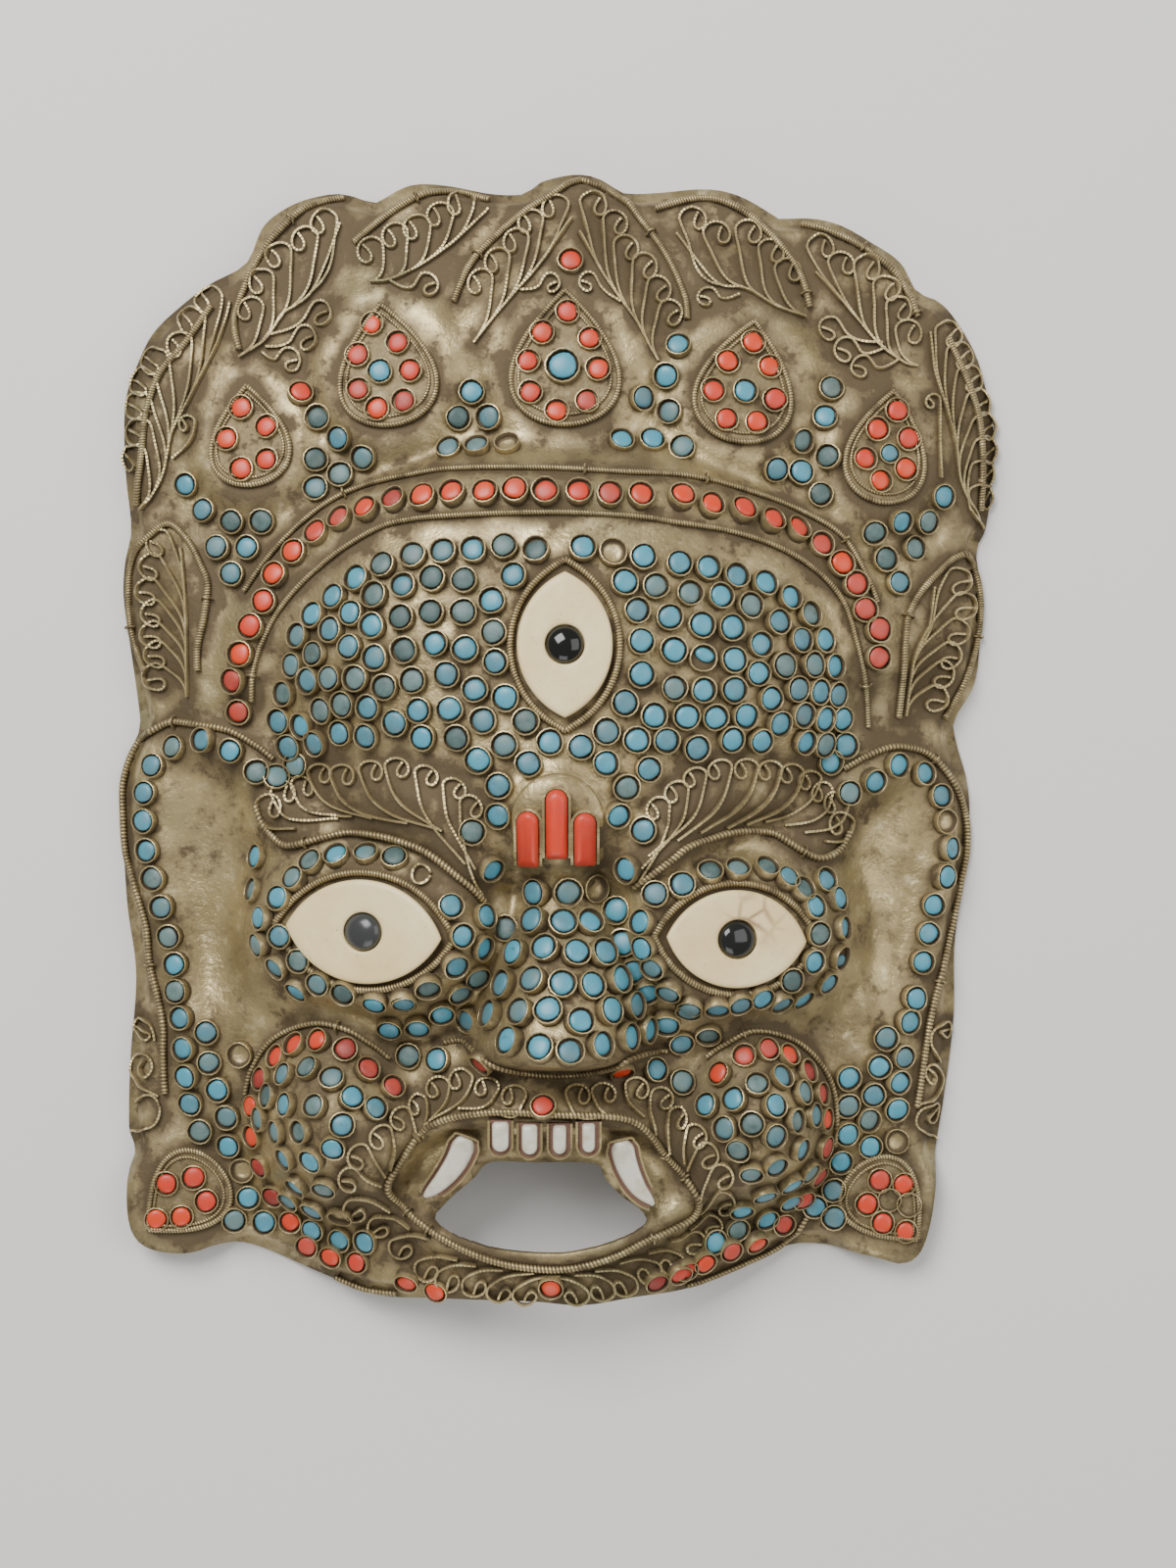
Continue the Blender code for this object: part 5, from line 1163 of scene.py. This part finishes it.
# Round the mouth: the hand, how strongly the loops stand upright, and each loop with its foot
mouth_scrolls = {
    "upper_left": (1, 0.9, (
        ((525, 1121), (504, 1133)), ((498, 1112), (470, 1133)), ((472, 1103), (443, 1143)),
        ((449, 1111), (438, 1147)), ((427, 1129), (431, 1158)), ((408, 1143), (424, 1163)),
        ((388, 1161), (396, 1192)), ((367, 1179), (391, 1199)), ((358, 1201), (387, 1208)))),
    "upper_right": (-1, 0.9, (
        ((589, 1120), (608, 1139)), ((615, 1118), (636, 1141)), ((648, 1112), (655, 1141)),
        ((673, 1122), (668, 1156)), ((691, 1142), (684, 1174)), ((712, 1160), (701, 1185)),
        ((723, 1178), (704, 1192)), ((737, 1198), (714, 1223)), ((738, 1225), (712, 1237)),
        ((724, 1249), (702, 1253)), ((706, 1267), (682, 1264)))),
    "lower_left": (1, 0.0, (
        ((363, 1232), (398, 1234)), ((388, 1250), (420, 1252)), ((411, 1272), (440, 1262)),
        ((437, 1294), (468, 1283)), ((458, 1304), (487, 1289)), ((485, 1310), (514, 1293)),
        ((510, 1317), (545, 1296)), ((536, 1320), (572, 1299)))),
    "lower_right": (-1, 0.0, (
        ((684, 1288), (660, 1276)), ((661, 1296), (631, 1286)), ((637, 1310), (606, 1294)),
        ((614, 1315), (586, 1298)), ((588, 1320), (556, 1300)))),
}
for side_name, (hand, upright, scrolls) in mouth_scrolls.items():
    add_leaning_scrolls(f"mouth_scrolls_{side_name}", scrolls, hand, upright)

ear_scrolls = {
    "left": (
        ((159, 1061), (154, 1044), (145, 1039), (138, 1048), (150, 1061), (154, 1054), (141, 1047)),
        ((162, 1118), (149, 1111), (135, 1094), (138, 1081), (149, 1075), (156, 1087), (150, 1099),
         (145, 1091), (149, 1082)),
        ((133, 1154), (146, 1153), (159, 1146), (164, 1132), (159, 1120), (150, 1117), (142, 1125)),
    ),
    "right": (
        ((956, 1083), (949, 1066), (951, 1051), (962, 1042), (969, 1048), (963, 1058), (957, 1052),
         (967, 1050)),
        ((938, 1126), (953, 1117), (960, 1101), (951, 1086), (943, 1093), (948, 1106), (952, 1099),
         (946, 1090)),
        ((956, 1161), (941, 1155), (934, 1144), (939, 1132), (951, 1125), (955, 1129), (951, 1143),
         (945, 1144), (946, 1138), (954, 1129)),
    ),
}
for side_name, lines in ear_scrolls.items():
    add_scrolls(f"ear_scrolls_{side_name}", lines)
turned = np.linspace(0.3, 2 * math.pi, 12)
ring_at, ring_radius = (430, 893), 9
ring = np.column_stack([np.cos(turned), np.sin(turned)]) * ring_radius + ring_at
add_scrolls("loose_ring_by_left_eye", [ring])

# The three coral bars between the brows: sticks of branch coral ground flat below, each held in a U
# of brass strip, open at the bottom, on a small arched plate whose edge is bright with wear.
BAR_SHADE, BAR_WIDTH, STRIP_HALF_HEIGHT = 0.5, 4.8, 1.4
# A bar from its foot to its rounded top: how far in from the outline, and the height
bar_profile = ((0.0, 0.3), (0.0, 1.9), (0.35, 2.6), (0.9, 3.05), (1.5, 3.25))


def arch_outline(width, length, steps=12, foot_round=0.2):
    """An upright outline with a round head and a nearly square foot, anticlockwise from its foot."""
    half = width / 2
    turns = np.linspace(0, math.pi, steps)
    head = [(half * math.cos(t), length / 2 - half + half * math.sin(t)) for t in turns]
    inset = foot_round * half
    foot = [(-half, -length / 2 + inset), (-half + inset, -length / 2), (half - inset, -length / 2),
            (half, -length / 2 + inset)]
    return np.array(head + foot)


def open_arch(width, length):
    """The sides and the head of an arch outline, without its foot."""
    return np.roll(arch_outline(width, length), 1, axis=0)[:-2]


def left_of(line):
    """Unit vectors pointing left of a plan line's course."""
    ahead = np.gradient(line, axis=0)
    return unit_rows(np.stack([-ahead[:, 1], ahead[:, 0]], axis=1))


def strip_on_edge(name, line, low, high, half, rib, material):
    """A faintly milled strip of brass along a plan line, between two heights."""
    side = left_of(line) * (half + rib * (np.arange(len(line)) % 2))[:, None]
    rings = [at_height(line + side * u, z) for u, z in ((-1, low), (1, low), (1, high), (-1, high))]
    bm = bmesh.new()
    loft(bm, to_part(np.stack(rings, axis=1)))
    add_piece(name, closed_mesh(bm, name, False), material, "twisted_wire")


coral_bars = {
    "coral_bar_left": (-6.3, -23.1, 12.4), "coral_bar_middle": (0.1, -19.7, 15.4),
    "coral_bar_right": (6.4, -23.1, 11.8),
}
plate_at, plate_width, plate_length = (0.3, -18.9), 20.6, 21.0
outline = arch_outline(plate_width, plate_length, 24)
# From the middle of its underside out to the edge and back to the middle on top: size, height, and grime with
# painted shade
plate_rings = ((0.02, -0.3, 0.6), (0.25, -0.3, 0.6), (0.5, -0.3, 0.6), (0.75, -0.3, 0.6), (1.0, -0.3, 0.6),
               (1.0, 0.3, 0.0), (0.96, 0.5, 0.1), (0.75, 0.5, 0.35), (0.5, 0.5, 0.4), (0.25, 0.5, 0.45),
               (0.02, 0.5, 0.45))
rings = [on_sheet(outline * grow + plate_at, z) for grow, z, _ in plate_rings]
bm = blank("grime_and_shade")
plate_grime_and_shade = np.tile([[value] for _, _, value in plate_rings], (1, len(outline)))
loft(bm, to_part(np.array(rings)), grime_and_shade=plate_grime_and_shade)
add_piece("coral_bar_plate", closed_mesh(bm, "coral bar plate"), sheet_brass, "embossed_brass")
for name, (x, y, length) in coral_bars.items():
    outline = arch_outline(BAR_WIDTH, length)
    half_size = np.array([BAR_WIDTH, length]) / 2
    rings = [on_sheet(outline * (1.0 - shrink / half_size) + (x, y), z) for shrink, z in bar_profile]
    bm = bmesh.new()
    loft(bm, to_part(np.array(rings)))
    fill_layer(bm, "shade", BAR_SHADE)
    mesh = closed_mesh(bm, name)
    put_where(mesh, name)
    add_piece(f"{name}_stick", mesh, coral, "coral", name)
    path = on_sheet(smooth_line(open_arch(BAR_WIDTH + 1.0, length + 0.8), 0.3) + (x, y), 1.1)
    line, height = path[:, :2], path[:, 2]
    strip_on_edge(f"{name}_strip", line, height - STRIP_HALF_HEIGHT, height + STRIP_HALF_HEIGHT, 0.25, 0.0625,
                  cup_brass)
    grime_and_shade_places.extend(path[::3])

# The teeth: four short ones and two curved fangs cut from white shell, each in a U of brass strip
# along the edge of the upper lip, with brown dirt in the gaps.
FANG_WIDTH, STRIP_WIDTH = 5.4, 5.3
# How far below a tooth's top its strip's foot, its packing's top and its strip's edge lie
STRIP_FOOT, PACKING_TOP, STRIP_EDGE = 2.9, 1.0, 0.1
# A tooth from its foot to its rounded top: the share of its outline, and the height
tooth_profile = ((1.0, 0.0), (1.0, 1.5), (0.93, 2.0), (0.8, 2.3), (0.5, 2.42))
shell_finish = Finish("white shell", (0.58, 0.56, 0.46), 0.3)
cement = Finish("brown dirt packed in", (0.15, 0.08, 0.055), 0.85)
cement.bump(cement.noise(700.0), 0.5, 0.0004)
stain = shell_finish.ramp(shell_finish.noise(260.0, 4.0), (0.5, 0.0), (0.75, 1.0))
white = shell_finish.mix(stain, (0.60, 0.58, 0.48), (0.42, 0.37, 0.26))
shell_finish.colour(shell_finish.mix(shell_finish.attribute("grime_and_shade"), white, (0.10, 0.06, 0.035)))
shell_finish.bump(shell_finish.noise(900.0), 0.15, 0.0002)


def cut_shell(name, outline):
    """A thick tooth from a plan outline, at the height of its node; gives back its top."""
    centre = outline.mean(axis=0)
    # The shell is darker towards the tooth's foot
    foot_darkness = [0.9 if z < 1.2 else 0.0 for _, z in tooth_profile]
    rings = [at_height(centre + (outline - centre) * share, z) for share, z in tooth_profile]
    bm = blank("grime_and_shade")
    loft(bm, to_part(np.array(rings)), grime_and_shade=np.tile(np.array(foot_darkness)[:, None], (1, len(outline))))
    mesh = closed_mesh(bm, name)
    put_where(mesh, name)
    add_piece(f"{name}_shell", mesh, shell_finish.material, "tooth", name)
    return max(v.co.z for v in mesh.vertices) / MM


def strip_round(name, line, top):
    """The strip round a tooth with this top, and the dirt packed between them."""
    line = smooth_line(line, 0.4)
    low, high = top - STRIP_FOOT, top - STRIP_EDGE
    strip_on_edge(f"{name}_strip", line, low, high, 0.2, 0.07, sheet_brass)
    grime_and_shade_places.extend(at_height(line, high))
    bm = bmesh.new()
    loft(bm, to_part([at_height(line, z) for z in (low, top - PACKING_TOP)]))
    packing = closed_mesh(bm, f"{name} packing", False)
    add_piece(f"{name}_strip_packing", packing, cement.material, "embossed_brass")


teeth = ((-12.5, -89.8, 8.2, 3.8), (-6.0, -90.4, 8.2, 3.5), (0.7, -90.4, 8.0, 3.0), (7.2, -90.0, 8.0, 2.9))
for number, (x, y, length, width) in enumerate(teeth, start=1):
    name = f"tooth_{number}"
    top = cut_shell(name, arch_outline(width, length - 1.4, foot_round=0.3) * (1, -1) + (x, y))
    strip_round(name, open_arch(STRIP_WIDTH, length + 0.4) * (1, -1) + (x, y), top)
fangs = {
    "fang_left": ((477, 1158), (468, 1180), (453, 1199), (436, 1213)),
    "fang_right": ((633, 1161), (639, 1184), (650, 1205), (666, 1222)),
}
for name, line in fangs.items():
    middle = smooth_line(sighted_on(line, relief), 0.8)
    side = left_of(middle)
    share = np.linspace(0.0, 1.0, len(middle))[:, None]
    rounded = np.clip((1.0 - share**2) * np.minimum(1.0, 0.25 + 6 * share), 0.02, 1.0)
    half = FANG_WIDTH / 2 * np.sqrt(rounded)
    top = cut_shell(name, np.concatenate([middle + side * half, (middle - side * half)[::-1]]))
    half = half + 1.0
    strip_round(name, np.concatenate([(middle - side * half)[::-1], middle + side * half])[:-4], top)

# The dirt and painted shade: brown polish and dust, with painted shade, in the angles round every cup,
# wire and scroll, and worn off the open places. It is kept on the sheet as a value from clean to grimy and
# shaded.
GRIME_AND_SHADE_REACH, GRIME_AND_SHADE_IN_ANGLES, GRIME_OVERALL = 3.4, 0.56, 0.21
# An arch above the coral bar plate, lightened as rubbed metal with a painted highlight
RUBBED_HIGHLIGHT_LINE = ((525, 808), (536, 790), (556, 778), (578, 775), (600, 783), (616, 800))
RUBBED_HIGHLIGHT_REACH, RUBBED_HIGHLIGHT_CLEAN = 1.6, 0.8
grime_and_shade_tree = tree_of(grime_and_shade_places)
gaps = np.array([grime_and_shade_tree.find(place)[2] for place in on_sheet(sheet_plan)])
# Grime with painted shade, darkest close to every cup, wire and scroll
grime_and_shade = GRIME_AND_SHADE_IN_ANGLES * np.exp(-((gaps / GRIME_AND_SHADE_REACH) ** 2)) + GRIME_OVERALL
grime_and_shade += value_noise(*sheet_plan.T, 9.0, 11) * 0.26 + value_noise(*sheet_plan.T, 3.5, 12) * 0.2
rubbed_highlight = nearest_on_line(*sheet_plan.T, sighted_on(RUBBED_HIGHLIGHT_LINE, relief))[0]
grime_and_shade -= RUBBED_HIGHLIGHT_CLEAN * np.exp(-((rubbed_highlight / RUBBED_HIGHLIGHT_REACH) ** 2))
layer = sheet.data.attributes.new("grime_and_shade", "FLOAT", "POINT")
layer.data.foreach_set("value", np.clip(grime_and_shade, 0.0, 1.0))

# The surroundings: a plain pale floor under the mask, a camera straight above the nose and soft
# studio light from over the brow.
floor_finish = Finish("pale floor", (0.72, 0.71, 0.69), 0.8)
floor_finish.bump(floor_finish.noise(40.0), 0.02, 0.001)
bm = bmesh.new()
bmesh.ops.create_grid(bm, x_segments=1, y_segments=1, size=2.5)
floor = bpy.data.objects.new("floor", new_mesh(bm, "floor", False))
bpy.context.scene.collection.objects.link(floor)
floor.data.materials.append(floor_finish.material)
floor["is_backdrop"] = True

SENSOR, IMAGE_HEIGHT = 36.0, 1600
camera_data = bpy.data.cameras.new("camera")
camera_data.sensor_width = SENSOR
camera_data.lens = SIGHT_HEIGHT * SENSOR / IMAGE_HEIGHT / SIGHT_UNIT
camera = bpy.data.objects.new("camera", camera_data)
camera.location = to_part([(*SIGHT_POINT, SIGHT_HEIGHT)])[0]
bpy.context.scene.collection.objects.link(camera)
bpy.context.scene.camera = camera

# Each light's place and width in metres, and its power
lights = {
    "key": ((-0.35, 0.55, 0.85), 0.6, 15.0), "fill": ((0.75, 0.1, 0.7), 0.8, 5.0),
    "low": ((-0.1, -0.9, 0.45), 0.6, 3.0),
}
for name, (place, size, power) in lights.items():
    light = bpy.data.lights.new(name, "AREA")
    light.energy = power
    light.size = size
    lamp = bpy.data.objects.new(name, light)
    lamp.location = place
    lamp.rotation_euler = (-Vector(place)).to_track_quat("-Z", "Y").to_euler()
    bpy.context.scene.collection.objects.link(lamp)
world = bpy.data.worlds.new("studio")
world.use_nodes = True
world.node_tree.nodes["Background"].inputs["Color"].default_value = (0.80, 0.78, 0.74, 1.0)
world.node_tree.nodes["Background"].inputs["Strength"].default_value = 0.38
bpy.context.scene.world = world

{"cad": cad_box, "visual": [list(corner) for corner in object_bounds()]}
